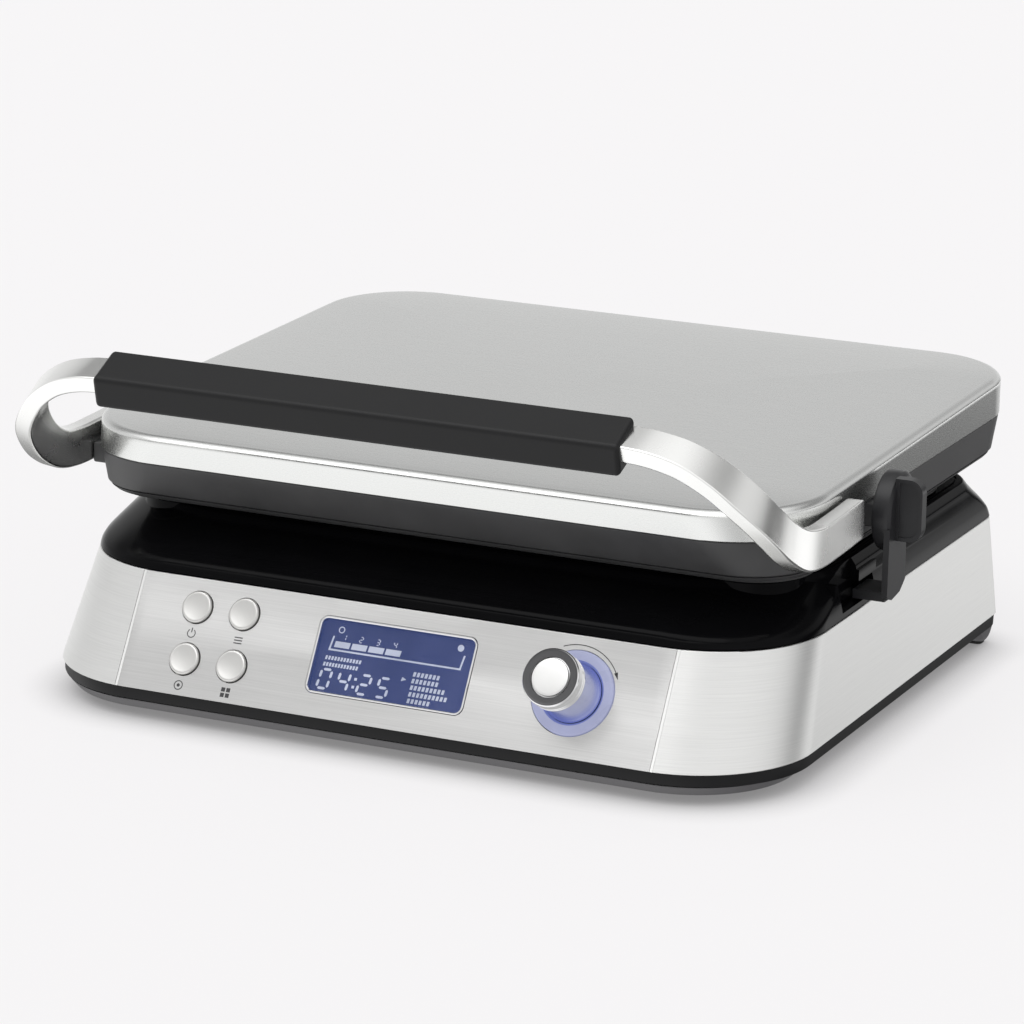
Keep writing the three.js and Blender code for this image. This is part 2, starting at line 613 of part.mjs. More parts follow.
function lidFrame() {
  const outer = loft(FRAME_RINGS.map(level));
  const hollow = loft([
    level({ ...inset(FRAME_RINGS[1], 2.8), z: FRAME_BOTTOM_Z + WALL }),
    level({ ...inset(FRAME_RINGS[2], WALL), z: FRAME_BOTTOM_Z + 4.5 }),
    level({ ...inset(FRAME_RINGS[3], WALL), z: LID_SPLIT_Z + 1 }),
  ]);
  const opening = slab({ half: 158, front: -81, rear: 115.4, frontR: 22, rearR: 22 }, 80, 95);
  // Side bosses that the handle arms and the latch bolt on to.
  const armFace = ARM_X - BAR.thick / 2 - GAP;
  const { root, front, low, high } = ARM_BOSS;
  const bosses = [
    box(root, armFace, front, ARM_END_Y - 3, low, high),
    box(-armFace, -root, front, ARM_END_Y - 3, low, high),
    box(root, LATCH.inner - GAP, LATCH.y - 7, LATCH.y + 7, low, high),
  ];
  const pivotBore = rod(160, 190, LATCH.y, LATCH.z, LATCH.pinR + GAP, 16);
  return cut(join(cut(outer, hollow, opening), ...bosses), pivotBore);
}

// Height of the lid's crease line at depth y.
const lidTop = (y) => LID_FRONT_TOP + LID_RISE * (y + 117.6);

function shellRing(shape, d, drop) {
  return outline(inset(shape, d), (x, y) => lidTop(y) - drop);
}

function lidShell() {
  const foot = { half: 174.9, front: -115.5, rear: 187, frontR: 43, rearR: 40 };
  const brow = { half: 176.2, front: -117.4, rear: 187, frontR: 50, rearR: 44 };
  const outer = loft([
    outline(foot, () => LID_SPLIT_Z + GAP),
    shellRing(brow, 0.1, 6),
    shellRing(brow, 0, 3.6),
    shellRing(brow, 0.9, 1.7),
    shellRing(brow, 2.8, 0.4),
    shellRing(brow, 6, -0.1),
    shellRing(brow, 60, -1.6),
  ]);
  const hollow = loft([
    outline(inset(foot, SHELL), () => LID_SPLIT_Z - 1),
    shellRing(brow, SHELL, 6),
    shellRing(brow, SHELL + 3, SHELL + 0.6),
    shellRing(brow, 60, SHELL - 1.2),
  ]);
  return cut(outer, hollow);
}

// ---------------------------------------------------------------- handle
// Stations along the right arm: [middle, direction across the bar, outward face direction].
// The bar leaves the grip flat, sweeps out and down, and runs back along the lid on edge.
function armStations() {
  return [
    [[GRIP_HALF + 1, -166, 161.2], [0, 0.95, 0.31], [0.08, -0.3, 0.95]],
    [[134, -165.6, 160.3], [0, 0.95, 0.31], [0.1, -0.28, 0.95]],
    [[147.3, -163, 156.6], [0, 0.93, 0.36], [0.42, -0.3, 0.86]],
    [[159, -158.8, 149.6], [-0.02, 0.88, 0.47], [0.66, -0.32, 0.68]],
    [[167.3, -153.5, 141.5], [-0.06, 0.8, 0.6], [0.82, -0.27, 0.5]],
    [[173.3, -146.5, 133.2], [-0.12, 0.73, 0.67], [0.9, -0.2, 0.38]],
    [[176.8, -138, 125.1], [-0.15, 0.66, 0.73], [0.94, -0.1, 0.3]],
    [[179, -127, 116.7], [-0.15, 0.52, 0.84], [0.97, -0.03, 0.22]],
    [[180.2, -113, 110.1], [-0.1, 0.3, 0.95], [0.985, 0.04, 0.15]],
    [[180.8, -98, 107.8], [0, 0.05, 1], [1, 0.02, 0]],
    [[ARM_X, -78, 108], [0, 0, 1], [1, 0, 0]],
    [[ARM_X, ARM_END_Y, 109.2], [0, -0.04, 1], [1, 0, 0]],
  ];
}

function armCurve(stations, pick) {
  return new THREE.CatmullRomCurve3(stations.map((s) => new THREE.Vector3(...s[pick])), false, "centripetal");
}

function handleArm(side) {
  const stations = armStations();
  const middle = armCurve(stations, 0);
  const across = armCurve(stations, 1);
  const outward = armCurve(stations, 2);
  const rings = [];
  const steps = 26;
  const chamfer = 1.2;
  for (let i = 0; i <= steps; i += 1) {
    const t = i / steps;
    const c = middle.getPoint(t);
    const along = middle.getTangent(t);
    const out = outward.getPoint(t).normalize();
    const w = across.getPoint(t);
    w.addScaledVector(along, -w.dot(along)).normalize();
    out.addScaledVector(along, -out.dot(along));
    out.addScaledVector(w, -out.dot(w)).normalize();
    const a = BAR.wide / 2;
    const b = BAR.thick / 2;
    const section = [[-a + chamfer, -b], [a - chamfer, -b], [a, -b + chamfer], [a, b - chamfer]];
    section.push([a - chamfer, b], [-a + chamfer, b], [-a, b - chamfer], [-a, -b + chamfer]);
    const ring = section.map(([p, q]) => c.clone().addScaledVector(w, p).addScaledVector(out, q));
    ring.forEach((p) => p.setX(p.x * side));
    rings.push(side > 0 ? ring : ring.reverse());
  }
  return loft(rings);
}

// A flat strip inside the grip, from x0 to x1.
function gripStrip(x0, x1, extra = 0) {
  return new THREE.BoxGeometry(x1 - x0, 9 + extra, 4 + extra)
    .rotateX(GRIP.tilt)
    .translate((x0 + x1) / 2, GRIP.y, GRIP.z);
}

function addHandle() {
  const end = GRIP_HALF + 5; // the strip is cast into the arm just outside the grip
  const channel = gripStrip(-end, end, 2 * GAP);
  add("handle_grip", cut(extrudeX(GRIP_PROFILE, -GRIP_HALF, GRIP_HALF), channel), MATTE_BLACK);
  add("handle_core", gripStrip(-GRIP_CORE, GRIP_CORE), SHEET_METAL);
  for (const [name, side] of [["left", -1], ["right", 1]]) {
    const start = GRIP_CORE + GAP;
    const tongue = side < 0 ? gripStrip(-end, -start) : gripStrip(start, end);
    add(`handle_arm_${name}`, join(handleArm(side), tongue), CAST_SATIN);
  }
}

// ---------------------------------------------------------------- latch
// A round knob with a thumb fin, and a flat strap that hangs down and hooks into the base.
function latchLever() {
  const { y, z, r, inner, face, outer, pinR } = LATCH;
  const strap = [[-32, 69.4], [-26, 67], [-16, 68.5], [-9.5, 73], [-10.5, 100], [-31.5, 100]];
  const toe = box(173.2, face + 1, -30, -12, 66.8, 71);
  const fin = new THREE.Shape();
  fin.moveTo(outer - 1, FIN.low);
  fin.lineTo(FIN.x - FIN.r, FIN.low);
  fin.absarc(FIN.x - FIN.r, FIN.low + FIN.r, FIN.r, -Math.PI / 2, 0);
  fin.absarc(FIN.x - FIN.r, FIN.high - FIN.r, FIN.r, 0, Math.PI / 2);
  fin.lineTo(outer - 1, FIN.high);
  const finBody = new THREE.ExtrudeGeometry(fin, {
    depth: FIN.rear - FIN.front,
    curveSegments: 5,
    bevelEnabled: false,
  });
  finBody.rotateX(Math.PI / 2).translate(0, FIN.rear, 0);
  const solid = join(rod(inner, outer, y, z, r, 36), extrudeX(strap, face, outer), toe, finBody);
  return cut(solid, rod(inner - 1, outer - 1.5, y, z, pinR + GAP, 16));
}

function addLatch() {
  const { y, z, inner, outer, pinR } = LATCH;
  add("latch_pivot", rod(inner - 9, outer - 1.5 - GAP, y, z, pinR, 16), SHEET_METAL);
  add("latch_lever", latchLever(), MATTE_BLACK);
}

// ---------------------------------------------------------------- rear hinge
// Points of an arc about the hinge pin in the YZ plane, from one angle to another.
function knuckleArc(from, to, r) {
  const arc = [];
  for (let a = from; a <= to; a += 15) {
    const angle = THREE.MathUtils.degToRad(a);
    arc.push([HINGE.y + r * Math.cos(angle), HINGE.z + r * Math.sin(angle)]);
  }
  return arc;
}

function addHinge(name, side) {
  const half = HINGE.tongue / 2;
  const cheek = 5;
  const reach = half + GAP + cheek;
  const back = BAND_TOP.rear + GAP;
  const at = (a, b) => (side > 0 ? [HINGE.x + a, HINGE.x + b] : [-HINGE.x - b, -HINGE.x - a]);
  const bore = rod(...at(-20, 20), HINGE.y, HINGE.z, HINGE.pinR + GAP, 16);

  const ear = [[back, 66], [154, 66], ...knuckleArc(-60, 105, HINGE.r), [back, 84]];
  const plate = box(...at(-reach - 3, reach + 3), back, back + 2.1, 66, 77.5);
  const cheeks = [at(-reach, -half - GAP), at(half + GAP, reach)].map(([a, b]) => extrudeX(ear, a, b));
  add(`hinge_bracket_${name}`, cut(join(plate, ...cheeks), bore), CAST_SATIN);

  const top = FRAME_BOTTOM_Z - GAP;
  const low = top - 2.5;
  const tongue = [[130, low], [150, low], ...knuckleArc(180, 375, HINGE.r - 0.3), [163, top], [130, top]];
  const pad = box(...at(-13, 13), 126, 147, low, top);
  add(`hinge_arm_${name}`, cut(join(extrudeX(tongue, ...at(-half, half)), pad), bore), CAST_SATIN);

  const shank = rod(...at(-reach - 0.8, reach + 1.2), HINGE.y, HINGE.z, HINGE.pinR, 16);
  const head = rod(...at(reach + GAP, reach + 2), HINGE.y, HINGE.z, HINGE.pinR + 1.8, 16);
  add(`hinge_pin_${name}`, join(shank, head), SHEET_METAL);
}

addBase();
addControls();
addPlates();
add("lid_frame", lidFrame(), MATTE_BLACK);
add("lid_shell", lidShell(), LID_SILVER);
addHandle();
addLatch();
addHinge("left", -1);
addHinge("right", 1);

export default machine;
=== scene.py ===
# Electric waffle maker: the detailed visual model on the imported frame. Blender units are metres;
# the dimensions below are millimetres from the machine's own centre plane.
import math

import bmesh
import bpy
from mathutils import Matrix, Vector


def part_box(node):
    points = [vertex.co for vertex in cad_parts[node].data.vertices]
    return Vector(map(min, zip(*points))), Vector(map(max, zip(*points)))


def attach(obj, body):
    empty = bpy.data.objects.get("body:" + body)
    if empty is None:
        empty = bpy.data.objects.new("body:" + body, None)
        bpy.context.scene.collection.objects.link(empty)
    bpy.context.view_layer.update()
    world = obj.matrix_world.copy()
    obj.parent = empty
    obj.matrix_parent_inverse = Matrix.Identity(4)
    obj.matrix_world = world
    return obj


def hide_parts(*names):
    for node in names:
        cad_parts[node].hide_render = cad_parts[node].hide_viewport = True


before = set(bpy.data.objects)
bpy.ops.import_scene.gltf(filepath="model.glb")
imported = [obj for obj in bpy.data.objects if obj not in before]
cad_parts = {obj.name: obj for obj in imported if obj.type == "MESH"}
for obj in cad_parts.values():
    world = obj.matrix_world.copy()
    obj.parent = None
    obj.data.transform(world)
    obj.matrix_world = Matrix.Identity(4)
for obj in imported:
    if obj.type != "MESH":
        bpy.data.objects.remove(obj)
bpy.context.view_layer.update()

# ---------------------------------------------------------------- placing
MM = 0.001
housing_low, housing_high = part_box("base_housing")
CENTRE_X = (housing_low[0] + housing_high[0]) / 2
REAR = 149.5  # the rear wall stands this far behind the centre
DEPTH_ZERO = housing_high[1] - REAR * MM
SIDES = ((-1, "left"), (1, "right"))


def at(x, y, z):
    """A point of the machine, from millimetres about its own centre to the shared frame."""
    return Vector((CENTRE_X + x * MM, DEPTH_ZERO + y * MM, z * MM))


def along_x(a, b, x):
    return at(x, a, b)


def along_y(a, b, y):
    return at(a, y, b)


def upright(x, y, z, up=1):
    """Places a turned body on an upright axis; up is +1 or -1 for the way that it faces."""
    return lambda a, b, h: at(x + a, y + b, z + up * h)


# Control panel: u across, v up the slope, w out of it.
PANEL_FRONT = -149.45
PANEL_Z = 15.0
PANEL_BACK = -122.25
PANEL_TOP = 61.75
PANEL_TILT = math.atan2(PANEL_TOP - PANEL_Z, PANEL_BACK - PANEL_FRONT)


def on_panel(u, v, w):
    y = PANEL_FRONT + v * math.cos(PANEL_TILT) - w * math.sin(PANEL_TILT)
    z = PANEL_Z + v * math.sin(PANEL_TILT) + w * math.cos(PANEL_TILT)
    return at(u, y, z)


# ---------------------------------------------------------------- mesh helpers
CORNER = 20  # facets in a quarter-round corner
SHARP = math.radians(32)


def shade(mesh):
    """Smooth faces, with sharp edges where two faces meet at a large angle."""
    work = bmesh.new()
    work.from_mesh(mesh)
    bmesh.ops.recalc_face_normals(work, faces=work.faces)
    for edge in work.edges:
        edge.smooth = len(edge.link_faces) == 2 and edge.calc_face_angle(0) < SHARP
    for face in work.faces:
        face.smooth = True
    work.to_mesh(mesh)
    work.free()


def in_scene(name, data):
    made = bpy.data.objects.new(name, data)
    bpy.context.scene.collection.objects.link(made)
    return made


def new_mesh(name, points, faces):
    mesh = bpy.data.meshes.new(name)
    mesh.from_pydata([tuple(p) for p in points], [], faces)
    mesh.validate()
    shade(mesh)
    return in_scene(name, mesh)


def bevel(made, width, segments=3, angle=35):
    """Rounded edges wherever two faces meet at more than the given angle."""
    modifier = made.modifiers.new("edges", "BEVEL")
    modifier.width = width * MM
    modifier.segments = segments
    modifier.limit_method = "ANGLE"
    modifier.angle_limit = math.radians(angle)
    modifier.miter_outer = "MITER_ARC"
    modifier.harden_normals = False
    shade(bake(made))
    return made


def bake(made):
    """Turn the modifiers of a piece into plain mesh."""
    bpy.context.view_layer.update()
    evaluated = made.evaluated_get(bpy.context.evaluated_depsgraph_get())
    mesh = bpy.data.meshes.new_from_object(evaluated)
    made.modifiers.clear()
    old = made.data
    made.data = mesh
    bpy.data.meshes.remove(old)
    return mesh


def even_normals(made):
    """Let large flat faces set the normals at their borders; only the rounds bend the light."""
    modifier = made.modifiers.new("even", "WEIGHTED_NORMAL")
    modifier.keep_sharp = True
    modifier.weight = 100
    bake(made)


def carve(made, tools, operation="DIFFERENCE"):
    """Cut the tools out of a piece, or join them to it; the tools are used up."""
    for tool in tools:
        modifier = made.modifiers.new("carve", "BOOLEAN")
        modifier.operation = operation
        modifier.solver = "EXACT"
        modifier.object = tool
        shade(bake(made))
        bpy.data.objects.remove(tool)
    return made


def turned(a, b, r, start, end, steps):
    """Pairs of an arc about (a, b), between two angles in degrees."""
    angles = [math.radians(start + (end - start) * i / steps) for i in range(steps + 1)]
    return [(a + r * math.cos(angle), b + r * math.sin(angle)) for angle in angles]


def outline(half, front, rear, front_r, rear_r, height, steps=CORNER):
    """Rounded rectangle as a ring of points; the height is a number or a function of depth."""
    corners = (
        (half - front_r, front + front_r, front_r, -90),
        (half - rear_r, rear - rear_r, rear_r, 0),
        (rear_r - half, rear - rear_r, rear_r, 90),
        (front_r - half, front + front_r, front_r, 180),
    )
    pairs = [pair for cx, cy, r, start in corners for pair in turned(cx, cy, r, start, start + 90, steps)]
    return [at(x, y, height(y) if callable(height) else height) for x, y in pairs]


def between_rings(a0, b0, count):
    """Faces between two closed rings, given by the numbers of their first points."""
    pairs = [(i, (i + 1) % count) for i in range(count)]
    return [(a0 + i, a0 + j, b0 + j, b0 + i) for i, j in pairs]


def rings_body(name, rings, looped=False):
    """A body through rings of equal point counts, capped at both ends or closed on itself."""
    count = len(rings[0])
    points = [p for ring in rings for p in ring]
    faces = []
    stretches = len(rings) if looped else len(rings) - 1
    for k in range(stretches):
        a0 = k * count
        b0 = ((k + 1) % len(rings)) * count
        faces += between_rings(a0, b0, count)
    if not looped:
        faces.append(tuple(reversed(range(count))))
        faces.append(tuple(range(len(points) - count, len(points))))
    return new_mesh(name, points, faces)


def lathe(name, profile, place, steps=64):
    """A turned body; the profile runs [radius, height] from axis to axis or closes on itself."""
    points = []
    faces = []
    rows = []
    for r, h in profile:
        if r < 1e-6:
            rows.append([len(points)])
            points.append(place(0, 0, h))
            continue
        rows.append(list(range(len(points), len(points) + steps)))
        for i in range(steps):
            angle = 2 * math.pi * i / steps
            points.append(place(r * math.cos(angle), r * math.sin(angle), h))
    pairs = list(zip(rows, rows[1:]))
    if len(rows[0]) > 1 or len(rows[-1]) > 1:
        pairs.append((rows[-1], rows[0]))
    for low, high in pairs:
        for i in range(steps):
            j = (i + 1) % steps
            loop = [low[i % len(low)], low[j % len(low)], high[j % len(high)], high[i % len(high)]]
            kept = [p for n, p in enumerate(loop) if p not in loop[:n]]
            if len(kept) > 2:
                faces.append(tuple(kept))
    return new_mesh(name, points, faces)


def prism(name, shape, place, low, high):
    """A flat outline of (a, b) points, extruded from low to high; place turns (a, b, c) to a point."""
    count = len(shape)
    points = [place(a, b, low) for a, b in shape] + [place(a, b, high) for a, b in shape]
    faces = [tuple(reversed(range(count))), tuple(range(count, 2 * count))]
    return new_mesh(name, points, faces + between_rings(0, count, count))


def block(name, x0, x1, y0, y1, z0, z1):
    shape = ((x0, y0), (x1, y0), (x1, y1), (x0, y1))
    return prism(name, shape, at, z0, z1)


def rounded(a, b, wide, high, r, steps=8):
    """A rounded rectangle about (a, b) as a list of points."""
    shape = []
    corners = ((1, -1, -90), (1, 1, 0), (-1, 1, 90), (-1, -1, 180))
    for sa, sb, start in corners:
        shape += turned(a + sa * (wide / 2 - r), b + sb * (high / 2 - r), r, start, start + 90, steps)
    return shape


def circle(a, b, r, steps=48):
    return turned(a, b, r, 0, 360, steps)[:-1]


def fillet(start, corner, end, r, steps=4):
    """Points of a round between two straight stretches of a profile."""
    c = Vector(corner)
    to_start = (Vector(start) - c).normalized()
    to_end = (Vector(end) - c).normalized()
    bend = to_start.angle(to_end)
    reach = r / math.tan(bend / 2)
    middle = c + (to_start + to_end).normalized() * (r / math.sin(bend / 2))
    first = c + to_start * reach - middle
    last = c + to_end * reach - middle
    sweep = first.angle(last)
    points = []
    for i in range(steps + 1):
        t = i / steps
        mixed = first * math.sin((1 - t) * sweep) + last * math.sin(t * sweep)
        points.append(tuple(middle + mixed / math.sin(sweep)))
    return points


def soften(profile, radii):
    """A polygon with its corners rounded."""
    after = profile[1:] + profile[:1]
    rounds = [fillet(profile[i - 1], profile[i], after[i], r) for i, r in enumerate(radii)]
    return [point for round_corner in rounds for point in round_corner]


# ---------------------------------------------------------------- material helpers
def shader_of(made):
    return made.node_tree.nodes["Principled BSDF"]


def material(name, color, rough, metal=0.0, **more):
    made = bpy.data.materials.new(name)
    made.use_nodes = True
    shader = shader_of(made)
    shader.inputs["Base Color"].default_value = (*color, 1)
    shader.inputs["Roughness"].default_value = rough
    shader.inputs["Metallic"].default_value = metal
    for key, value in more.items():
        shader.inputs[key.replace("_", " ")].default_value = value
    return made


def node(made, kind, **settings):
    new = made.node_tree.nodes.new(kind)
    for key, value in settings.items():
        setattr(new, key, value)
    return new


def link(made, source, output, target, socket):
    made.node_tree.links.new(source.outputs[output], target.inputs[socket])


def noise(made, scale, detail, roughness=0.55, stretch=(1, 1, 1)):
    """Noise in the piece's own space, in metres, stretched along the axes."""
    place = node(made, "ShaderNodeTexCoord")
    mapping = node(made, "ShaderNodeMapping")
    mapping.inputs["Scale"].default_value = stretch
    texture = node(made, "ShaderNodeTexNoise")
    texture.inputs["Scale"].default_value = scale
    texture.inputs["Detail"].default_value = detail
    texture.inputs["Roughness"].default_value = roughness
    link(made, place, "Object", mapping, "Vector")
    link(made, mapping, "Vector", texture, "Vector")
    return texture


def spread(made, source, output, low, high, from_low=0.3, from_high=0.7):
    """Map a texture's middle range on to low..high."""
    span = node(made, "ShaderNodeMapRange")
    span.inputs["From Min"].default_value = from_low
    span.inputs["From Max"].default_value = from_high
    span.inputs["To Min"].default_value = low
    span.inputs["To Max"].default_value = high
    link(made, source, output, span, "Value")
    return span


def mix_color(made, factor, output, first, second):
    mixed = node(made, "ShaderNodeMix", data_type="RGBA")
    mixed.inputs[6].default_value = (*first, 1)
    mixed.inputs[7].default_value = (*second, 1)
    link(made, factor, output, mixed, 0)
    return mixed


def paint(made, texture, first, second, socket="Base Color"):
    """Let a texture drive a colour of the shader, from the first colour to the second."""
    mixed = mix_color(made, spread(made, texture, "Fac", 0, 1), "Result", first, second)
    link(made, mixed, 2, shader_of(made), socket)


def add_bump(made, texture, strength, depth):
    bump = node(made, "ShaderNodeBump")
    bump.inputs["Strength"].default_value = strength
    bump.inputs["Distance"].default_value = depth
    link(made, texture, "Fac", bump, "Height")
    link(made, bump, "Normal", shader_of(made), "Normal")


def brushed(name, color, rough, lines, streak, contrast, bump, aniso=0.5):
    """Metal with fine lines; lines and streak are the noise stretches along and across them."""
    made = material(name, color, rough, 1.0)
    shader = shader_of(made)
    shader.inputs["Anisotropic"].default_value = aniso
    fine = noise(made, 1.0, 4.0, 0.62, lines)
    broad = noise(made, 1.0, 2.0, stretch=streak)
    dark = tuple(c * (1 - contrast) for c in color)
    paint(made, fine, dark, tuple(min(c * (1 + contrast * 0.5), 1) for c in color))
    gloss = node(made, "ShaderNodeMath", operation="ADD")
    link(made, spread(made, fine, "Fac", rough - 0.03, rough + 0.03), "Result", gloss, 0)
    link(made, spread(made, broad, "Fac", -0.004, 0.006), "Result", gloss, 1)
    link(made, gloss, "Value", shader, "Roughness")
    add_bump(made, fine, bump, 0.00003)
    return made


def satin(name, color, rough, grain=2600.0, bump=0.25, vary=0.06, metal=0.0, cloudy=0.12, **more):
    """Moulded plastic or cast metal with a fine grain and soft changes of gloss."""
    made = material(name, color, rough, metal, **more)
    grain_noise = noise(made, grain, 2.0, 0.6)
    cloud = noise(made, 38.0, 4.0, 0.6)
    gloss = spread(made, cloud, "Fac", rough - vary, rough + vary)
    link(made, gloss, "Result", shader_of(made), "Roughness")
    dark = tuple(c * (1 - cloudy) for c in color)
    paint(made, cloud, dark, tuple(min(c * (1 + cloudy), 1) for c in color))
    add_bump(made, grain_noise, bump, 0.00004)
    return made


def dull(level):
    """The setting for a weaker mirror reflection than plain plastic has."""
    return {"Specular_IOR_Level": level}


# ---------------------------------------------------------------- materials
PANEL_TONE = (0.635, 0.633, 0.628)
LID_TONE = (0.73, 0.735, 0.725)
STEEL_WRAP = brushed("steel_wrap_brushed", (0.79, 0.79, 0.78), 0.37, (30, 30, 2600), (9, 9, 90), 0.06, 0.16)
STEEL_PANEL = brushed("steel_panel_brushed", PANEL_TONE, 0.38, (22, 2600, 2600), (9, 50, 50), 0.09, 0.2)
STEEL_LID = brushed("lid_satin_steel", LID_TONE, 0.27, (60, 1800, 1800), (4, 4, 4), 0.009, 0.02, 0.05)
HEM_METAL = satin("hem_bright_metal", (0.84, 0.84, 0.83), 0.5, 1800.0, 0.06, 0.02, 1.0, 0.02)
ARM_METAL = satin("arm_satin_metal", (0.93, 0.93, 0.915), 0.27, 1500.0, 0.05, 0.015, 1.0, 0.015)
BUTTON_METAL = satin("button_satin_metal", (0.66, 0.655, 0.64), 0.36, 3000.0, 0.1, 0.02, 1.0, 0.02)
DISC_METAL = satin("knob_disc_metal", (0.86, 0.86, 0.85), 0.36, 3200.0, 0.15, 0.03, 1.0, 0.03)
CHROME = satin("chrome_polished", (0.82, 0.82, 0.83), 0.07, 600.0, 0.01, 0.02, 1.0, 0.02)
KNOB_FACE = satin("knob_face_grey", (0.085, 0.085, 0.088), 0.36, 2200.0, 0.12, 0.03, 0.6, 0.08)
GLOSS_BLACK = satin("housing_gloss_black", (0.003, 0.003, 0.0035), 0.14, 900.0, 0.02, 0.03, **dull(0.05))
FRAME_GREY = satin("lid_frame_satin", (0.045, 0.045, 0.046), 0.4, 2400.0, 0.15, 0.03, **dull(0.42))
GRIP_BLACK = satin("grip_satin_black", (0.008, 0.008, 0.0085), 0.4, 2200.0, 0.15, 0.03, **dull(0.25))
LATCH_BLACK = satin("latch_satin_black", (0.015, 0.015, 0.0165), 0.36, 2200.0, 0.15, 0.03, **dull(0.33))
TRAY_BLACK = satin("tray_satin_black", (0.006, 0.006, 0.0065), 0.4, 1800.0, 0.25, 0.06, **dull(0.22))
# A grey copy of the tray's black for its chamfered belly: painted light from the pale floor below.
TRAY_PAINTED_FLOOR_LIGHT = satin("tray_belly_painted_floor_light", (0.09, 0.088, 0.092), 0.42, 1800.0, 0.25, 0.06)
RUBBER = satin("rubber_matt", (0.012, 0.012, 0.012), 0.82, 1300.0, 0.5, 0.06)
NONSTICK = satin("nonstick_coating", (0.03, 0.03, 0.0305), 0.4, 1500.0, 0.55, 0.08, 0.15)
SHEET_STEEL = satin("sheet_steel", (0.56, 0.56, 0.55), 0.34, 1200.0, 0.15, 0.08, 1.0)
HEATER_METAL = satin("heater_sheath", (0.17, 0.15, 0.14), 0.48, 900.0, 0.3, 0.1, 0.9)
BOARD_GREEN = satin("circuit_board", (0.012, 0.07, 0.03), 0.45, 700.0, 0.3, 0.08)
PRINT_GREY = satin("printed_grey", (0.04, 0.04, 0.042), 0.6, 1500.0, 0.1, 0.05)


def lcd_blue():
    """Backlit blue panel with soft, slight changes of brightness."""
    made = satin("display_backlight", (0.01, 0.014, 0.05), 0.4, 800.0, 0.05, 0.05)
    cloud = noise(made, 22.0, 2.0)
    paint(made, cloud, (0.02, 0.034, 0.11), (0.026, 0.042, 0.135), "Emission Color")
    shader_of(made).inputs["Emission Strength"].default_value = 1.12
    return made


def glowing(name, color, light):
    """Translucent plastic with a soft inner glow."""
    made = satin(name, color, 0.3, 900.0, 0.06, 0.05)
    cloud = noise(made, 60.0, 2.0)
    paint(made, cloud, tuple(c * 0.8 for c in light), light, "Emission Color")
    shader_of(made).inputs["Emission Strength"].default_value = 1.0
    return made


def clear_window():
    made = satin("display_glass", (0.93, 0.95, 1.0), 0.03, 300.0, 0.01, 0.015)
    shader_of(made).inputs["Transmission Weight"].default_value = 1.0
    shader_of(made).inputs["IOR"].default_value = 1.1
    return made


def neck_metal():
    """Satin chrome with the ring's blue light painted on towards its foot, as a blue tint and a faint blue
    glow.
    """
    plain = (0.86, 0.86, 0.85)
    made = satin("knob_neck_satin_painted_ring_glow", plain, 0.22, 1500.0, 0.04, 0.02, 1.0, 0.02)
    shader = shader_of(made)
    place = node(made, "ShaderNodeTexCoord")
    along = node(made, "ShaderNodeVectorMath", operation="DOT_PRODUCT")
    axis = Vector((0, -math.sin(PANEL_TILT), math.cos(PANEL_TILT)))
    along.inputs[1].default_value = axis
    link(made, place, "Object", along, 0)
    foot = at(0, PANEL_FRONT, PANEL_Z).dot(axis)
    # Painted light: the share of blue tint and glow, full up to 1 mm over the panel and gone by 7 mm.
    blue = spread(made, along, "Value", 1, 0, foot + 1 * MM, foot + 7 * MM)
    blue.interpolation_type = "SMOOTHSTEP"
    tint = mix_color(made, blue, "Result", plain, (0.55, 0.58, 0.76))
    link(made, tint, 2, shader, "Base Color")
    shader.inputs["Emission Color"].default_value = (0.03, 0.036, 0.085, 1)
    link(made, blue, "Result", shader, "Emission Strength")
    return made


NECK_METAL = neck_metal()
LCD_BLUE = lcd_blue()
LCD_MARK = glowing("display_marks", (0.25, 0.26, 0.3), (0.4, 0.43, 0.52))
RING_GLOW = glowing("ring_light_glow", (0.26, 0.27, 0.37), (0.15, 0.165, 0.27))
# The ring glows as a lamp; this darker copy for its inner slope and wall is painted shade of the recess
# round the dial's foot.
RING_SHADED_SLOPE = glowing("ring_light_slope_painted_shade", (0.09, 0.11, 0.26), (0.08, 0.1, 0.27))
WINDOW = clear_window()


def finish(piece, look, body, slot, *nodes):
    """Give a piece its material and body, and hide the CAD nodes that it stands for. The slot argument is
    not used.
    """
    even_normals(piece)
    piece.data.materials.clear()
    piece.data.materials.append(look)
    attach(piece, body)
    if nodes:
        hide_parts(*nodes)
    return piece


# ---------------------------------------------------------------- lid
LID_SPLIT = 108.8
LID_FRONT_TOP = 122.5
LID_RISE = 0.0213
FOOT = (174.9, -115.5, 187, 43, 40)
BROW = (176.2, -117.4, 187, 50, 44)
# The roll between the cover's flank and its top: a quarter of an ellipse, without its last steep part.
ROLL_WIDE = 4.4
ROLL_HIGH = 3.1
ROLL_START = math.radians(17)
ROLL_STEPS = 9
# Inset and drop of the rings of the crowned top.
CROWN = ((5.6, 0.24), (7, 0.13), (9, 0.02), (14, -0.24), (26, -0.75), (48, -1.35), (80, -1.75), (120, -2.0))


def pulled(shape, d):
    half, front, rear, front_r, rear_r = shape
    return (half - d, front + d, rear - d, max(front_r - d, 1), max(rear_r - d, 1))


def inset(shape, d, height):
    return outline(*pulled(shape, d), height)


def lid_height(drop):
    return lambda y: LID_FRONT_TOP + LID_RISE * (y + 117.6) - drop


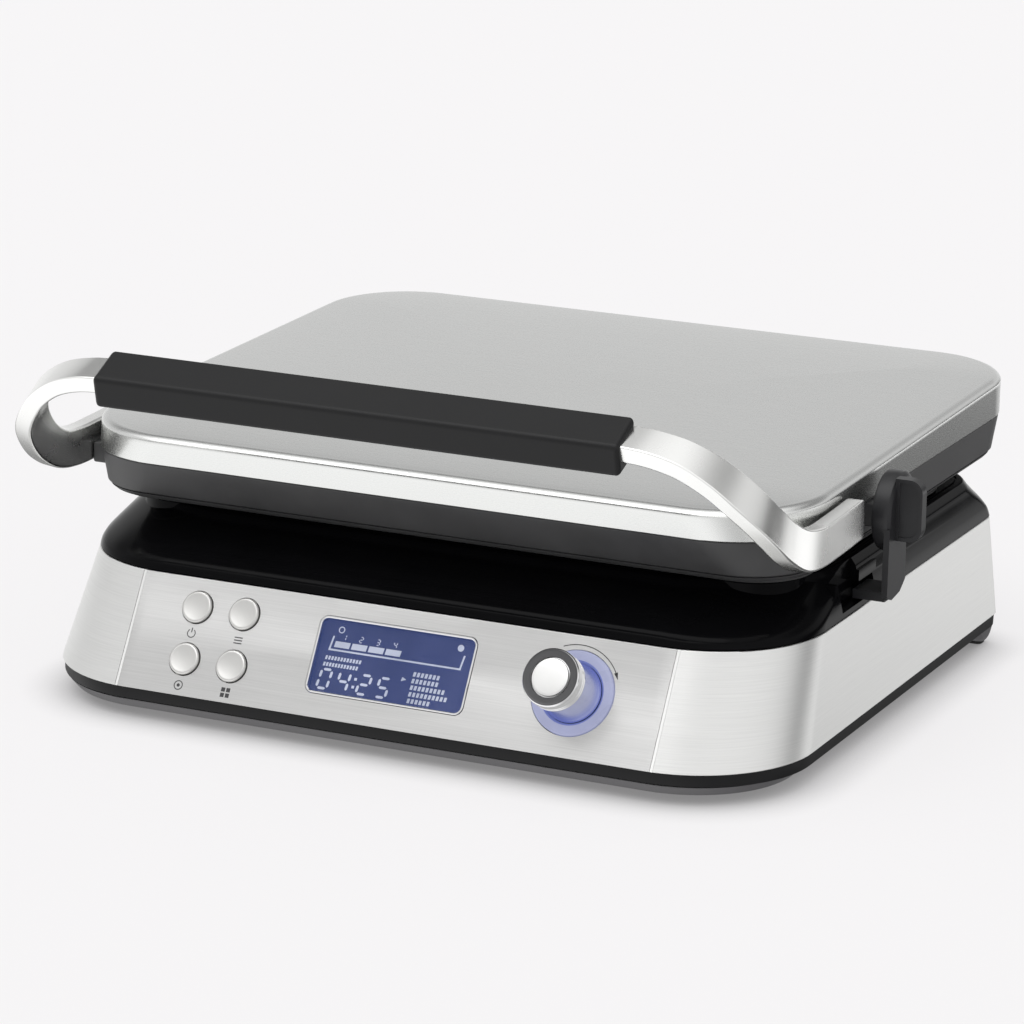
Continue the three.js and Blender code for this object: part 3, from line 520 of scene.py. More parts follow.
def lid_shell():
    """A pressed cover: crisp brow round the edge, top crowned by a couple of millimetres."""
    inner = [
        inset(BROW, 90, lid_height(1.0)),
        inset(BROW, 6, lid_height(2.4)),
        inset(BROW, 3.2, lid_height(4.2)),
        inset(BROW, 2, lid_height(7)),
        inset(FOOT, 2, LID_SPLIT + 0.6),
        inset(FOOT, 1.7, LID_SPLIT + 0.3),
    ]
    outer = [
        inset(FOOT, 0.25, LID_SPLIT + 0.3),
        outline(*FOOT, LID_SPLIT + 0.6),
        inset(BROW, 0.1, lid_height(4.2)),
        inset(BROW, 0.02, lid_height(2.9)),
    ]
    steps = [ROLL_START + (math.pi / 2 - ROLL_START) * i / ROLL_STEPS for i in range(ROLL_STEPS + 1)]
    roll = [(ROLL_WIDE * (1 - math.cos(t)), 0.3 + ROLL_HIGH * (1 - math.sin(t))) for t in steps]
    outer += [inset(BROW, d, lid_height(drop)) for d, drop in (*roll, *CROWN)]
    return rings_body("lid_cover", inner + outer)


FRAME_LOW = 88.0
FRAME_RINGS = (
    (88.0, 166.4, -98.4, 175.4, 26.4, 29.4),
    (88.35, 167.6, -99.6, 176.6, 27.5, 30.5),
    (89.2, 169.6, -101.5, 178.4, 28.7, 32.2),
    (90.6, 170.9, -103.1, 179.9, 29.5, 33.5),
    (91.2, 171.2, -103.6, 180.4, 29.9, 34),
    (91.35, 170.4, -102.8, 179.6, 29.1, 33.2),
    (91.85, 170.5, -103.0, 179.8, 29.3, 33.4),
    (92.0, 171.6, -104.3, 181.0, 30.3, 34.4),
    (92.6, 172.2, -105.0, 181.5, 31, 35),
    (97.5, 172.9, -107.9, 183.2, 34.5, 36.6),
    (103, 173.7, -111.5, 185.1, 38.6, 38.2),
    (107.6, 174.4, -114.5, 186.7, 42.1, 39.7),
    (108.4, 174.5, -114.9, 187, 43, 40),
    (108.8, 174.1, -114.6, 186.6, 42.6, 39.6),
)


def lid_frame():
    outer = [outline(*shape, z) for z, *shape in FRAME_RINGS]
    top = FRAME_RINGS[-1][1:]
    low = FRAME_RINGS[9][1:]
    inner = [
        inset(top, 2.6, LID_SPLIT),
        inset(low, 2.6, 97.5),
        inset(FRAME_RINGS[2][1:], 4.2, 91.2),
        outline(158, -81, 115.4, 22, 22, 90.6),
        outline(158, -81, 115.4, 22, 22, 88.6),
        outline(158.6, -81.6, 116, 22.6, 22.6, 88.0),
    ]
    return rings_body("lid_frame_body", outer + inner, looped=True)


PAD_INNER = 166.0
PAD_HALF = 7.0


def add_lid():
    finish(lid_shell(), STEEL_LID, "lid", "lid_steel", "lid_shell")
    finish(lid_frame(), FRAME_GREY, "lid", "frame_black", "lid_frame")
    for side, name in SIDES:
        x0, x1 = sorted((side * PAD_INNER, side * 176.7))
        pad = bevel(block(f"arm_pad_{name}", x0, x1, -88, -53, 98, 107.6), 1.0)
        finish(pad, FRAME_GREY, "lid", "frame_black")
    pad = block("latch_pad", PAD_INNER, 180.7, LATCH_Y - PAD_HALF, LATCH_Y + PAD_HALF, 97.5, 108.2)
    pad = bevel(pad, 0.8)
    finish(pad, FRAME_GREY, "lid", "frame_black")


# ---------------------------------------------------------------- base housing
HOUSING_RINGS = (
    (15.3, 179.6, -147.6, 147.9, 53.9, 6.5),
    (61.9, 174.3, -120.4, 147.9, 52, 6.5),
    (62.15, 175.7, -121.8, 149.2, 53.3, 7.7),
    (62.4, 176, -122.1, 149.5, 53.6, 8),
    (64.2, 175.8, -121.7, 149.4, 53.9, 8.7),
    (65.4, 175.6, -121.1, 149.3, 54.6, 9.3),
    (66.6, 175.4, -120.1, 149.2, 55.5, 10.1),
    (67.8, 175.1, -118.6, 149.0, 56.5, 11.2),
    (69.6, 174.7, -115.0, 148.7, 58.2, 13.6),
    (72, 174.1, -109.9, 148.2, 60.5, 17),
    (74, 173.6, -105.6, 147.6, 62.4, 20),
    (76, 173, -101.1, 146.8, 64, 23),
    (78.2, 172.4, -96.2, 145.9, 65.2, 25.8),
    (79.6, 172.1, -93.0, 145.2, 65.9, 27.6),
    (80.1, 171.9, -92.0, 144.9, 66, 28),
    (80.7, 171.5, -91.5, 144.5, 65.6, 27.6),
    (82.6, 170.1, -90.0, 143.1, 63.6, 26.5),
    (83.1, 169.6, -89.4, 142.6, 63, 26),
    (83.3, 168.9, -88.7, 141.9, 62.4, 25.4),
)
WELL = (162, -83.5, 118, 24, 24)
CATCH = {"front": -48, "ledge": -24, "rear": -8, "floor": 64.6, "roof": 73, "depth": 169.5}
INLET = {"x": -118, "z": 36, "bore": 6.2}
SLOTS = {"count": 9, "x": 20, "pitch": 12, "wide": 5, "low": 30, "high": 48}


def base_housing():
    outer = [outline(*shape, z) for z, *shape in HOUSING_RINGS]
    rim = [
        inset(HOUSING_RINGS[-1][1:], 1.8, 83.3),
        inset(HOUSING_RINGS[-1][1:], 2.1, 82.6),
        inset(HOUSING_RINGS[-1][1:], 3.0, 82.6),
        inset(HOUSING_RINGS[-1][1:], 3.3, 83.3),
        outline(162.5, -84, 118.5, 24.5, 24.5, 83.3),
        outline(*WELL, 82.8),
        outline(*WELL, 70),
        outline(164.6, -86.1, 120.6, 26, 26, 70),
        inset(HOUSING_RINGS[-3][1:], 4, 79.2),
        inset(HOUSING_RINGS[9][1:], 4, 70.6),
        inset(HOUSING_RINGS[1][1:], 2.6, 61.5),
        inset(HOUSING_RINGS[0][1:], 2.6, 15.3),
    ]
    body = rings_body("base_shell", outer + rim, looped=True)
    c = CATCH
    backing = block("catch_backing", 163, c["depth"] + 4.2, c["front"] - 5, c["rear"] + 5, 58, 78)
    carve(body, [backing], "UNION")
    outside, above = 190, 90
    notch = block("notch", c["depth"], outside, c["front"], c["ledge"], c["floor"], above)
    foot = c["front"] + 2
    slope = ((foot, c["floor"] + 6), (foot, above), (c["front"] - 9, above))
    ramp = prism("ramp", slope, along_x, c["depth"], outside)
    pocket = block("pocket", c["depth"], outside, c["ledge"] - 1, c["rear"], c["floor"], c["roof"])
    vents = block("vents", SLOTS["x"] - 2, 124, 130, 160, SLOTS["low"] - 2, SLOTS["high"] + 2)
    bore = prism("bore", circle(INLET["x"], INLET["z"], INLET["bore"] + 1), along_y, 130, 160)
    behind_panel = block("behind_panel", -116, 116, -170, -105, 18, 58)
    return carve(body, [notch, ramp, pocket, vents, bore, behind_panel])


STEEL = 1.2
SEAM = 130.0
SEAM_GAP = 0.75  # from the seam's middle to each plate
HEM_HALF = 0.62
HEM_DEEP = 0.12
SEAM_STEPS = 3
COLUMNS = 23
BAND_LOW = (PANEL_Z, 181.3, PANEL_FRONT, REAR, 55.5, 8)
BAND_TOP = (PANEL_TOP, 176, PANEL_BACK, REAR, 53.6, 8)


def arc(x, y, r, start, end, steps, z):
    """Points of an arc about (x, y), between two angles in degrees."""
    return [at(a, b, z) for a, b in turned(x, y, r, start, end, steps)]


def band_shape(t, d):
    """The band's outline at a share t of its height, pulled in by d."""
    z, half, front, rear, front_r, rear_r = (a + (b - a) * t for a, b in zip(BAND_LOW, BAND_TOP))
    slope = d / math.sin(PANEL_TILT)
    return z, half - d, front + slope, rear - d, front_r - d, max(rear_r - d, 1)


def seam_turn(half, r, x):
    """How far round its front corner the band is at a given x, in degrees."""
    return math.degrees(math.asin((x - half + r) / r))


def front_run(t, d):
    """The band's front stretch, from seam to seam."""
    z, half, front, _, r, _ = band_shape(t, d)
    turn = seam_turn(half, r, SEAM - SEAM_GAP)
    cx = half - r
    left = arc(-cx, front + r, r, -90 - turn, -90, SEAM_STEPS, z)
    right = arc(cx, front + r, r, -90, turn - 90, SEAM_STEPS, z)
    straight = [at(-cx + 2 * cx * i / COLUMNS, front, z) for i in range(1, COLUMNS)]
    return left + straight + right


def wrap_run(t, d):
    """The rest of the band, round the back from the right seam to the left one."""
    z, half, front, rear, r, rear_r = band_shape(t, d)
    turn = seam_turn(half, r, SEAM + SEAM_GAP)
    cx = half - r
    run = arc(cx, front + r, r, turn - 90, 0, CORNER, z)
    run += arc(half - rear_r, rear - rear_r, rear_r, 0, 90, CORNER, z)
    run += arc(rear_r - half, rear - rear_r, rear_r, 90, 180, CORNER, z)
    return run + arc(-cx, front + r, r, 180, 270 - turn, CORNER, z)


def band_piece(name, run):
    """A stretch of the steel band with rounded edges."""
    edge = 0.3 / 50
    profile = ((0, 0.3), (edge, 0), (1 - edge, 0), (1, 0.3), (1, STEEL - 0.3), (1 - edge, STEEL))
    profile += ((edge, STEEL), (0, STEEL - 0.3))
    return open_sweep(name, [run(t, d) for t, d in profile])


def seam_hem(name, side):
    """The folded edge that shows between the control panel and the wrap."""
    rings = []
    for t, d in ((0.001, HEM_DEEP), (0.999, HEM_DEEP), (0.999, STEEL), (0.001, STEEL)):
        z, half, front, _, r, _ = band_shape(t, d)
        first, last = (side * seam_turn(half, r, SEAM + side * w) for w in (-HEM_HALF, HEM_HALF))
        rings.append(arc(side * (half - r), front + r, r, first - 90, last - 90, 2, z))
    return open_sweep(name, rings)


def open_sweep(name, rings):
    """A closed body swept through points of rings that don't close; the two ends are capped."""
    count = len(rings[0])
    total = len(rings)
    points = [p for ring in rings for p in ring]
    faces = []
    for k in range(total):
        a0, b0 = k * count, ((k + 1) % total) * count
        faces += [(a0 + i, a0 + i + 1, b0 + i + 1, b0 + i) for i in range(count - 1)]
    faces.append(tuple(k * count for k in range(total)))
    faces.append(tuple(k * count + count - 1 for k in reversed(range(total))))
    return new_mesh(name, points, faces)


def steel_wrap():
    """The band without its front stretch, with cooling slots and the lead's hole at the back."""
    body = band_piece("steel_band", wrap_run)
    slots = []
    for i in range(SLOTS["count"]):
        x = SLOTS["x"] + SLOTS["pitch"] * i + SLOTS["wide"] / 2
        z = (SLOTS["low"] + SLOTS["high"]) / 2
        shape = rounded(x, z, SLOTS["wide"], SLOTS["high"] - SLOTS["low"], 2.45)
        slots.append(prism(f"slot_{i}", shape, along_y, 140, 160))
    slots.append(prism("bore", circle(INLET["x"], INLET["z"], INLET["bore"] + 0.3), along_y, 140, 160))
    return carve(body, slots)


def control_panel():
    """The band's front stretch with openings for the display, the light ring and the buttons."""
    body = band_piece("panel_plate", front_run)
    tools = [prism("hole", rounded(0, DISPLAY_V, 77.1, 35.6, 4.2), on_panel, -4, 4)]
    tools.append(prism("hole", circle(KNOB_U, KNOB_V, RING_R + 0.3, 96), on_panel, -4, 4))
    for u, v in BUTTON_PLACES:
        tools.append(prism("hole", circle(u, v, BUTTON_R + 0.45, 64), on_panel, -4, 4))
    return bevel(carve(body, tools), 0.2, 2, 50)


TRAY_SCREWS = ((-150, -60), (150, -60), (-150, 70), (150, 70), (0, -110), (0, 110))
FRONT_FOOT_X = 140.0
FRONT_FOOT_Y = -112.0
LEG_X = 168.0
LEG_Y = 142.0
LEG_RINGS = (
    (1.4, 8.4, 137.6, 146.4, 2.6, 3.6),
    (1.9, 9.0, 137.0, 147.0, 3, 4),
    (3.2, 9.8, 133.8, 147.7, 3, 4.6),
    (5.0, 10.5, 131, 148.1, 3, 5),
    (7.5, 11.2, 127.5, 148.3, 3, 5.5),
    (10.0, 11.8, 124, 148.4, 3, 6),
)


def bottom_tray():
    rings = (
        (4.9, 172.4, -143.4, 144.4, 46, 7),
        (4.5, 173.0, -144.0, 145.0, 46.6, 7.6),
        (4.9, 173.7, -144.7, 145.7, 47.2, 8.2),
        (8.4, 176.7, -147.6, 147.2, 49.8, 8),
        (8.9, 177.0, -147.7, 147.5, 50, 8),
        (9.0, 179.2, -146.6, 147.6, 53, 8),
        (9.3, 180.2, -147.4, 148.4, 53.8, 8),
        (9.9, 180.5, -147.6, 148.6, 54, 8),
        (14.2, 180.7, -147.6, 148.6, 54.5, 8),
        (14.7, 180.4, -147.3, 148.3, 54.2, 7.7),
    )
    outer = [outline(*shape, z) for z, *shape in reversed(rings)]
    inner = [
        inset(rings[2][1:], 4, 7.2),
        inset(rings[3][1:], 4, 8.9),
        inset(rings[-1][1:], 3.6, 14.7),
    ]
    body = rings_body("tray_body", inner + outer)
    legs = []
    for side in (-1, 1):
        leg_rings = [outline(*shape, z, 6) for z, *shape in LEG_RINGS]
        moved = [[p + Vector((side * LEG_X * MM, 0, 0)) for p in ring] for ring in leg_rings]
        legs.append(rings_body("leg", moved))
    carve(body, legs, "UNION")
    return carve(body, [prism("vent", rounded(-39 + i * 12, 0, 6, 60, 2.9), at, 0, 10) for i in range(8)])


def add_base():
    finish(base_housing(), GLOSS_BLACK, "base", "gloss_black", "base_housing")
    finish(steel_wrap(), STEEL_WRAP, "base", "brushed_steel", "steel_wrap")
    finish(control_panel(), STEEL_PANEL, "base", "brushed_steel", "control_panel")
    for side, name in SIDES:
        finish(seam_hem(f"panel_hem_{name}", side), HEM_METAL, "base", "brushed_steel")
    tray = finish(bottom_tray(), TRAY_BLACK, "base", "tray_black", "bottom_tray")
    # The chamfered belly between 2 and 8.95 mm up takes the grey copy: painted light from the floor below.
    tray.data.materials.append(TRAY_PAINTED_FLOOR_LIGHT)
    for face in tray.data.polygons:
        if face.center.z < 8.95 * MM and face.center.z > 2 * MM:
            face.material_index = 1

    for side, name in SIDES:
        front = lathe(
            f"foot_pad_front_{name}",
            ((0, 0.5), (5.6, 0.5), (6, 0), (8.4, 0), (8.9, 0.2), (9, 0.7), (8.8, 4.2), (0, 4.2)),
            upright(side * FRONT_FOOT_X, FRONT_FOOT_Y, 0),
            48,
        )
        finish(front, RUBBER, "base", "rubber", f"foot_front_{name}")
        sole = rounded(side * LEG_X, LEG_Y, 15.6, 7.6, 2.4)
        rear = bevel(prism(f"foot_pad_rear_{name}", sole, at, 0, 1.1), 0.3, 2)
        finish(rear, RUBBER, "base", "rubber", f"foot_rear_{name}")

    for i, (x, y) in enumerate(TRAY_SCREWS):
        screw = screw_head(f"tray_screw_{i + 1}", x, y, 4.5, 3.6, 1.0, -1)
        finish(screw, SHEET_STEEL, "base", "steel_parts")

    bore = INLET["bore"]
    gland = [(bore - 2.4, -13), (bore, -13), (bore, 0.3), (bore + 2.3, 0.3), (bore + 2.6, 0.6)]
    gland += [(bore + 2.5, 2.2), (bore + 1.9, 3.1), (bore + 0.6, 3.3), (bore + 0.4, 3.7), (bore + 0.5, 4.3)]
    gland += [(bore + 0.2, 5.1), (bore - 0.5, 5.5), (bore - 2.0, 5.5), (bore - 2.4, 5.1)]
    bushing = lathe(
        "lead_bushing",
        gland,
        lambda a, b, h: at(INLET["x"] + a, REAR + h, INLET["z"] + b),
        48,
    )
    finish(bushing, RUBBER, "base", "rubber", "power_inlet")


def screw_head(name, x, y, z, r, high, up):
    """A pan head with a cross recess; up is +1 or -1 for the way that it faces."""
    profile = [(0, 0), (r, 0), (r, high * 0.35), (r * 0.9, high * 0.75), (r * 0.6, high), (0, high)]
    head = lathe(name, profile, upright(x, y, z, up), 32)
    arms = []
    for wide, deep in ((r * 1.15, 0.7), (0.7, r * 1.15)):
        low, top = sorted((z + up * high * 0.45, z + up * (high + 1)))
        arms.append(block("recess", x - wide / 2, x + wide / 2, y - deep / 2, y + deep / 2, low, top))
    return carve(head, arms)


# ---------------------------------------------------------------- control panel pieces
DISPLAY_V = 28.45
DISPLAY_WIDE = 74.5
DISPLAY_HIGH = 33.0
BUTTON_R = 7.3
BUTTON_PLACES = ((-99.4, 40.7), (-99.4, 16.7), (-75.8, 40.7), (-75.8, 16.7))
BUTTON_NAMES = ("button_power", "button_crisp", "button_menu", "button_uniform")
KNOB_U = 86.9
KNOB_V = 28.56
KNOB_R = 13.0
KNOB_TOP = 27.6
NECK_TOP = 18.4
RING_R = 19.0
RING_SLOPE = 14.5
RING_INNER = 13.45


def panel_ring(name, outer, inner, low, high):
    """A frame between two outlines of equal point counts on the panel, with a softened top edge."""
    rise = high - 0.2

    def between(t):
        return [tuple(Vector(a) + (Vector(b) - Vector(a)) * t) for a, b in zip(outer, inner)]

    stack = [(outer, low), (outer, rise), (between(0.2), high), (between(0.75), high)]
    stack += [(inner, rise), (inner, low)]
    return rings_body(name, [[on_panel(u, v, w) for u, v in shape] for shape, w in stack], looped=True)


SEGMENTS = {
    "a": ((0.12, 2), (0.88, 2)),
    "b": ((1, 1.88), (1, 1.12)),
    "c": ((1, 0.88), (1, 0.12)),
    "d": ((0.12, 0), (0.88, 0)),
    "e": ((0, 0.88), (0, 0.12)),
    "f": ((0, 1.88), (0, 1.12)),
    "g": ((0.12, 1), (0.88, 1)),
}
DIGITS = {
    "0": "abcdef",
    "1": "bc",
    "2": "abged",
    "3": "abgcd",
    "4": "fgbc",
    "5": "afgcd",
}
SLANT = 0.12


def bar_between(p, q, wide):
    """A pointed bar, as a display's segment is drawn."""
    p, q = Vector(p), Vector(q)
    along = (q - p).normalized()
    side = Vector((-along.y, along.x)) * (wide / 2)
    tip = along * (wide / 2)
    return [tuple(c) for c in (p, p + tip + side, q - tip + side, q, q - tip - side, p + tip - side)]


def digit(u, v, wide, high, thick, figure):
    """The bars of one seven-segment figure with its lower left corner at (u, v)."""
    bars = []
    for key in DIGITS[figure]:
        ends = []
        for a, b in SEGMENTS[key]:
            y = b * high / 2
            ends.append((u + a * wide + y * SLANT, v + y))
        bars.append(bar_between(*ends, thick))
    return bars


def strip(u0, u1, v0, v1):
    return [(u0, v0), (u1, v0), (u1, v1), (u0, v1)]


def word_blocks(u, v, letters, high, pitch):
    """A word without letters: a row of small upright blocks, leaning as the figures do."""
    lean = high * SLANT
    blocks = []
    for k in range(letters):
        a = u + k * pitch
        b = a + pitch * 0.62
        blocks.append([(a, v), (b, v), (b + lean, v + high), (a + lean, v + high)])
    return blocks


def display_marks():
    """All the marks of the display: a four-step scale, a clock and a menu of plain blocks."""
    left = -DISPLAY_WIDE / 2
    base = DISPLAY_V - DISPLAY_HIGH / 2
    top = DISPLAY_V + DISPLAY_HIGH / 2
    marks = []
    # The scale: a tray with a step for each bar, numbered above.
    rail = top - 13.7
    line = 0.75
    ends = (left + 4.8, left + 69.2)
    marks.append(strip(ends[0], ends[1], rail, rail + line))
    low, high = rail + line, rail + 6.6
    for end in (ends[0], ends[1] - line):
        marks.append([(end, low), (end + line, low), (end + 1.6, high), (end + 0.8, high)])
    for i, figure in enumerate("1234"):
        u = ends[0] + 2.3 + i * 8.3
        marks.append([(u, rail + 1.7), (u + 7.3, rail + 1.7), (u + 7.6, rail + 4.4), (u + 0.3, rail + 4.4)])
        marks += digit(u + 3.2, rail + 5.3, 1.4, 2.5, 0.38, figure)
    # A hollow and a full round stand at the scale's pale and dark ends.
    marks += icon_ring(left + 9.0, top - 4.0, 1.3, 0.45)
    marks.append(circle(left + 67.0, top - 4.0, 1.5, 24))
    # Two rows of small blocks, then the clock.
    marks += word_blocks(left + 4.2, top - 17.9, 12, 1.7, 1.5)
    marks += word_blocks(left + 3.9, top - 20.9, 12, 1.7, 1.45)
    for u, figure in zip((3.2, 12.4, 22.6, 31.8), "0425"):
        marks += digit(left + u, base + 2.0, 5.0, 8.6, 1.15, figure)
    for v in (4.0, 7.6):
        u = left + 19.6 + v * SLANT
        marks.append(strip(u, u + 1.2, base + v, base + v + 1.2))
    # The menu: five rows, the second one marked by a pointer.
    for row, letters in enumerate((7, 7, 9, 10, 6)):
        marks += word_blocks(left + 47.6, base + 13.4 - row * 3.0, letters, 2.0, 1.9)
    v = base + 10.6
    marks.append([(left + 42.6, v), (left + 45.0, v + 0.9), (left + 42.9, v + 1.9)])
    return marks


def flat_marks(name, shapes, low, high):
    """Many small flat outlines on the panel as one piece, each a closed solid."""
    points = []
    faces = []
    for shape in shapes:
        n = len(shape)
        base = len(points)
        points += [on_panel(u, v, low) for u, v in shape] + [on_panel(u, v, high) for u, v in shape]
        faces.append(tuple(base + i for i in reversed(range(n))))
        faces.append(tuple(base + n + i for i in range(n)))
        faces += between_rings(base, base + n, n)
    return new_mesh(name, points, faces)


def icon_ring(u, v, r, thick, start=0, end=360, steps=24):
    """A ring drawn as short bars, from one angle to another."""
    low, high = r - thick / 2, r + thick / 2
    step = (end - start) / steps
    bars = []
    for i in range(steps):
        angles = (start + step * i, start + step * (i + 1.02))
        inner = turned(u, v, low, *angles, 1)
        bars.append(inner + turned(u, v, high, *angles[::-1], 1))
    return bars


def panel_print():
    """Plain symbols under the buttons and an arc with an arrow beside the dial."""
    power, crisp, menu, uniform = ((u, v - 12.0) for u, v in BUTTON_PLACES)
    u, v = power
    marks = icon_ring(u, v, 1.9, 0.45, -235, 55, 20)
    marks.append(strip(u - 0.25, u + 0.25, v + 0.4, v + 2.6))
    u, v = menu
    for row in (-1.3, 0, 1.3):
        marks.append(strip(u - 2.0, u + 2.0, v + row - 0.25, v + row + 0.25))
    marks += icon_ring(*crisp, 2.0, 0.45, steps=22)
    marks.append(circle(*crisp, 0.8, 16))
    u, v = uniform
    for a in (-1.25, 1.25):
        for b in (-1.25, 1.25):
            marks.append(strip(u + a - 0.95, u + a + 0.95, v + b - 0.95, v + b + 0.95))
    u, v, r = KNOB_U - 0.7, KNOB_V - 0.2, RING_R + 2.6
    marks += icon_ring(u, v, r, 0.4, 30, 113, 40)
    tip, root = (Vector(p) for p in turned(u, v, r, 24, 33, 1))
    side = (root - tip).normalized().orthogonal() * 0.9
    marks.append([tuple(p) for p in (tip, root - side, root + side)])
    return marks


def knob_profile(top, r):
    """The dial's flank from its foot, narrow neck and two grooves to the rim of its face."""
    body = [(3.3, 15), (3.3, 0.4), (13.1, 0.4), (13.3, 0.6), (13.2, 0.9), (12.7, 1.6), (12.2, 2.8)]
    body += [(11.8, 4.6), (11.5, 7), (11.3, 10), (11.2, 13), (11.2, 16), (11.4, 17.3), (11.8, 18.2)]
    body += [(12.4, 18.8), (12.8, 19.2)]
    for start in (19.4, 21.0):
        body += [(r - 0.25, start), (r, start + 0.25), (r, start + 0.95), (r - 0.25, start + 1.2)]
        body += [(r - 0.7, start + 1.3), (r - 0.7, start + 1.5)]
    body += [(r - 0.25, 22.6), (r, 22.9), (r, top - 1.4), (r - 0.15, top - 0.8), (r - 0.6, top - 0.2)]
    body += [(r - 1.0, top), (r - 1.3, top - 0.06), (r - 1.6, top - 0.1)]
    return body


def display_shape(more, r):
    """The display's outline, larger by the given amount, with corners of radius r."""
    return rounded(0, DISPLAY_V, DISPLAY_WIDE + more, DISPLAY_HIGH + more, r)


def add_display():
    bezel = panel_ring("bezel_ring", display_shape(2, 3.9), display_shape(0.2, 3), -2, 0.45)
    finish(bezel, CHROME, "base", "chrome", "display_bezel")

    glass = prism("window_pane", display_shape(-0.4, 3), on_panel, -1.6, 0.15)
    finish(bevel(glass, 0.15, 2), WINDOW, "base", "display_glass", "display_window")
    panel = prism("backlight", display_shape(1.6, 2), on_panel, -5.4, -2.5)
    finish(bevel(panel, 0.3, 2), LCD_BLUE, "base", "display_panel", "display_module")
    marks = flat_marks("display_figures", display_marks(), -2.45, -2.3)
    finish(marks, LCD_MARK, "base", "display_panel")
    printed = flat_marks("panel_symbols", panel_print(), -0.05, 0.03)
    finish(printed, PRINT_GREY, "base", "brushed_steel")


def out_of_panel(u, v):
    """Places a turned body on an axis square to the panel."""
    return lambda a, b, h: on_panel(u + a, v + b, h)


def add_buttons():
    r = BUTTON_R
    cap = [(0, -5.4), (3, -5.4), (3, -3.6), (r + 1.6, -3.6), (r + 1.6, -2.6), (r, -2.6), (r, 0.5)]
    cap += [(r - 0.06, 0.95), (r - 0.25, 1.3), (r - 0.6, 1.52), (r - 1.0, 1.6), (r - 1.4, 1.56)]
    cap += [(r - 2.2, 1.46), (r - 3.4, 1.36), (2, 1.26), (0, 1.24)]
    for name, place in zip(BUTTON_NAMES, BUTTON_PLACES):
        button = lathe(f"{name}_cap", cap, out_of_panel(*place), 64)
        finish(button, BUTTON_METAL, name, "button_metal", name)


def add_dial():
    around_knob = out_of_panel(KNOB_U, KNOB_V)
    ring = [(RING_INNER, -3), (RING_R, -3), (RING_R, 0.2), (RING_R - 0.2, 0.75), (RING_R - 0.7, 1.1)]
    ring += [(RING_R - 1.6, 1.2), (RING_SLOPE + 0.5, 1.2), (RING_SLOPE, 1.1), (RING_SLOPE - 0.4, 0.8)]
    ring += [(RING_INNER + 0.15, 0.3), (RING_INNER, 0.1)]
    pipe = finish(lathe("light_pipe", ring, around_knob, 96), RING_GLOW, "base", "ring_light", "light_ring")
    # Faces inside the slope take the darker copy of the glow: painted shade by the dial's foot.
    pipe.data.materials.append(RING_SHADED_SLOPE)
    for face in pipe.data.polygons:
        if dial_coordinates(face.center)[0] < RING_SLOPE - 0.1:
            face.material_index = 1

    top = KNOB_TOP
    body = [(0, 15)] + knob_profile(top, KNOB_R) + [(9.3, top - 0.12), (8.9, top - 0.4), (8.7, top - 1.4)]
    body += [(0, top - 1.4)]
    knob = lathe("dial_body", body, around_knob, 96)
    finish(knob, CHROME, "knob", "chrome", "knob")
    knob.data.materials.append(KNOB_FACE)
    knob.data.materials.append(NECK_METAL)
    for face in knob.data.polygons:
        from_axis, height = dial_coordinates(face.center)
        if height > top - 0.75 and from_axis < KNOB_R - 0.5:
            face.material_index = 1
        elif height < NECK_TOP:
            face.material_index = 2
    disc = [(0, top - 1.1), (8.3, top - 1.1), (8.35, top - 0.2), (8.2, top + 0.1), (7.9, top + 0.22)]
    disc += [(7, top + 0.3), (4, top + 0.38), (0, top + 0.42)]
    finish(lathe("dial_disc", disc, around_knob, 96), DISC_METAL, "knob", "button_metal", "knob_disc")


def dial_coordinates(point):
    """Distance of a point from the dial's axis and height over the panel, in millimetres."""
    offset = (point - at(0, PANEL_FRONT, PANEL_Z)) / MM
    v = offset.y * math.cos(PANEL_TILT) + offset.z * math.sin(PANEL_TILT)
    w = -offset.y * math.sin(PANEL_TILT) + offset.z * math.cos(PANEL_TILT)
    return math.hypot(offset.x - KNOB_U, v - KNOB_V), w


# ---------------------------------------------------------------- handle
GRIP_HALF = 124.1
BAR_WIDE = 18.0
BAR_THICK = 8.0
ARM_X = 181.0
ARM_END_Y = -50.0
ARM_STEPS = 132
ARM_STATIONS = (
    ((122.5, -166, 161.3), (0, 0.95, 0.31), (0.08, -0.3, 0.95)),
    ((134, -165.6, 160.3), (0, 0.95, 0.31), (0.1, -0.28, 0.95)),
    ((147.3, -163, 156.6), (0, 0.93, 0.36), (0.42, -0.3, 0.86)),
    ((159, -158.8, 149.6), (-0.02, 0.88, 0.47), (0.66, -0.32, 0.68)),
    ((167.3, -153.5, 141.5), (-0.06, 0.8, 0.6), (0.82, -0.27, 0.5)),
    ((173.3, -146.5, 133.2), (-0.12, 0.73, 0.67), (0.9, -0.2, 0.38)),
    ((176.8, -138, 125.1), (-0.15, 0.66, 0.73), (0.94, -0.1, 0.3)),
    ((179, -127, 116.7), (-0.15, 0.52, 0.84), (0.97, -0.03, 0.22)),
    ((180.2, -113, 110.1), (-0.1, 0.3, 0.95), (0.985, 0.04, 0.15)),
    ((180.8, -98, 107.8), (0, 0.05, 1), (1, 0.02, 0)),
    ((ARM_X, -78, 108), (0, 0, 1), (1, 0, 0)),
    ((ARM_X, ARM_END_Y, 109.2), (0, -0.04, 1), (1, 0, 0)),
)


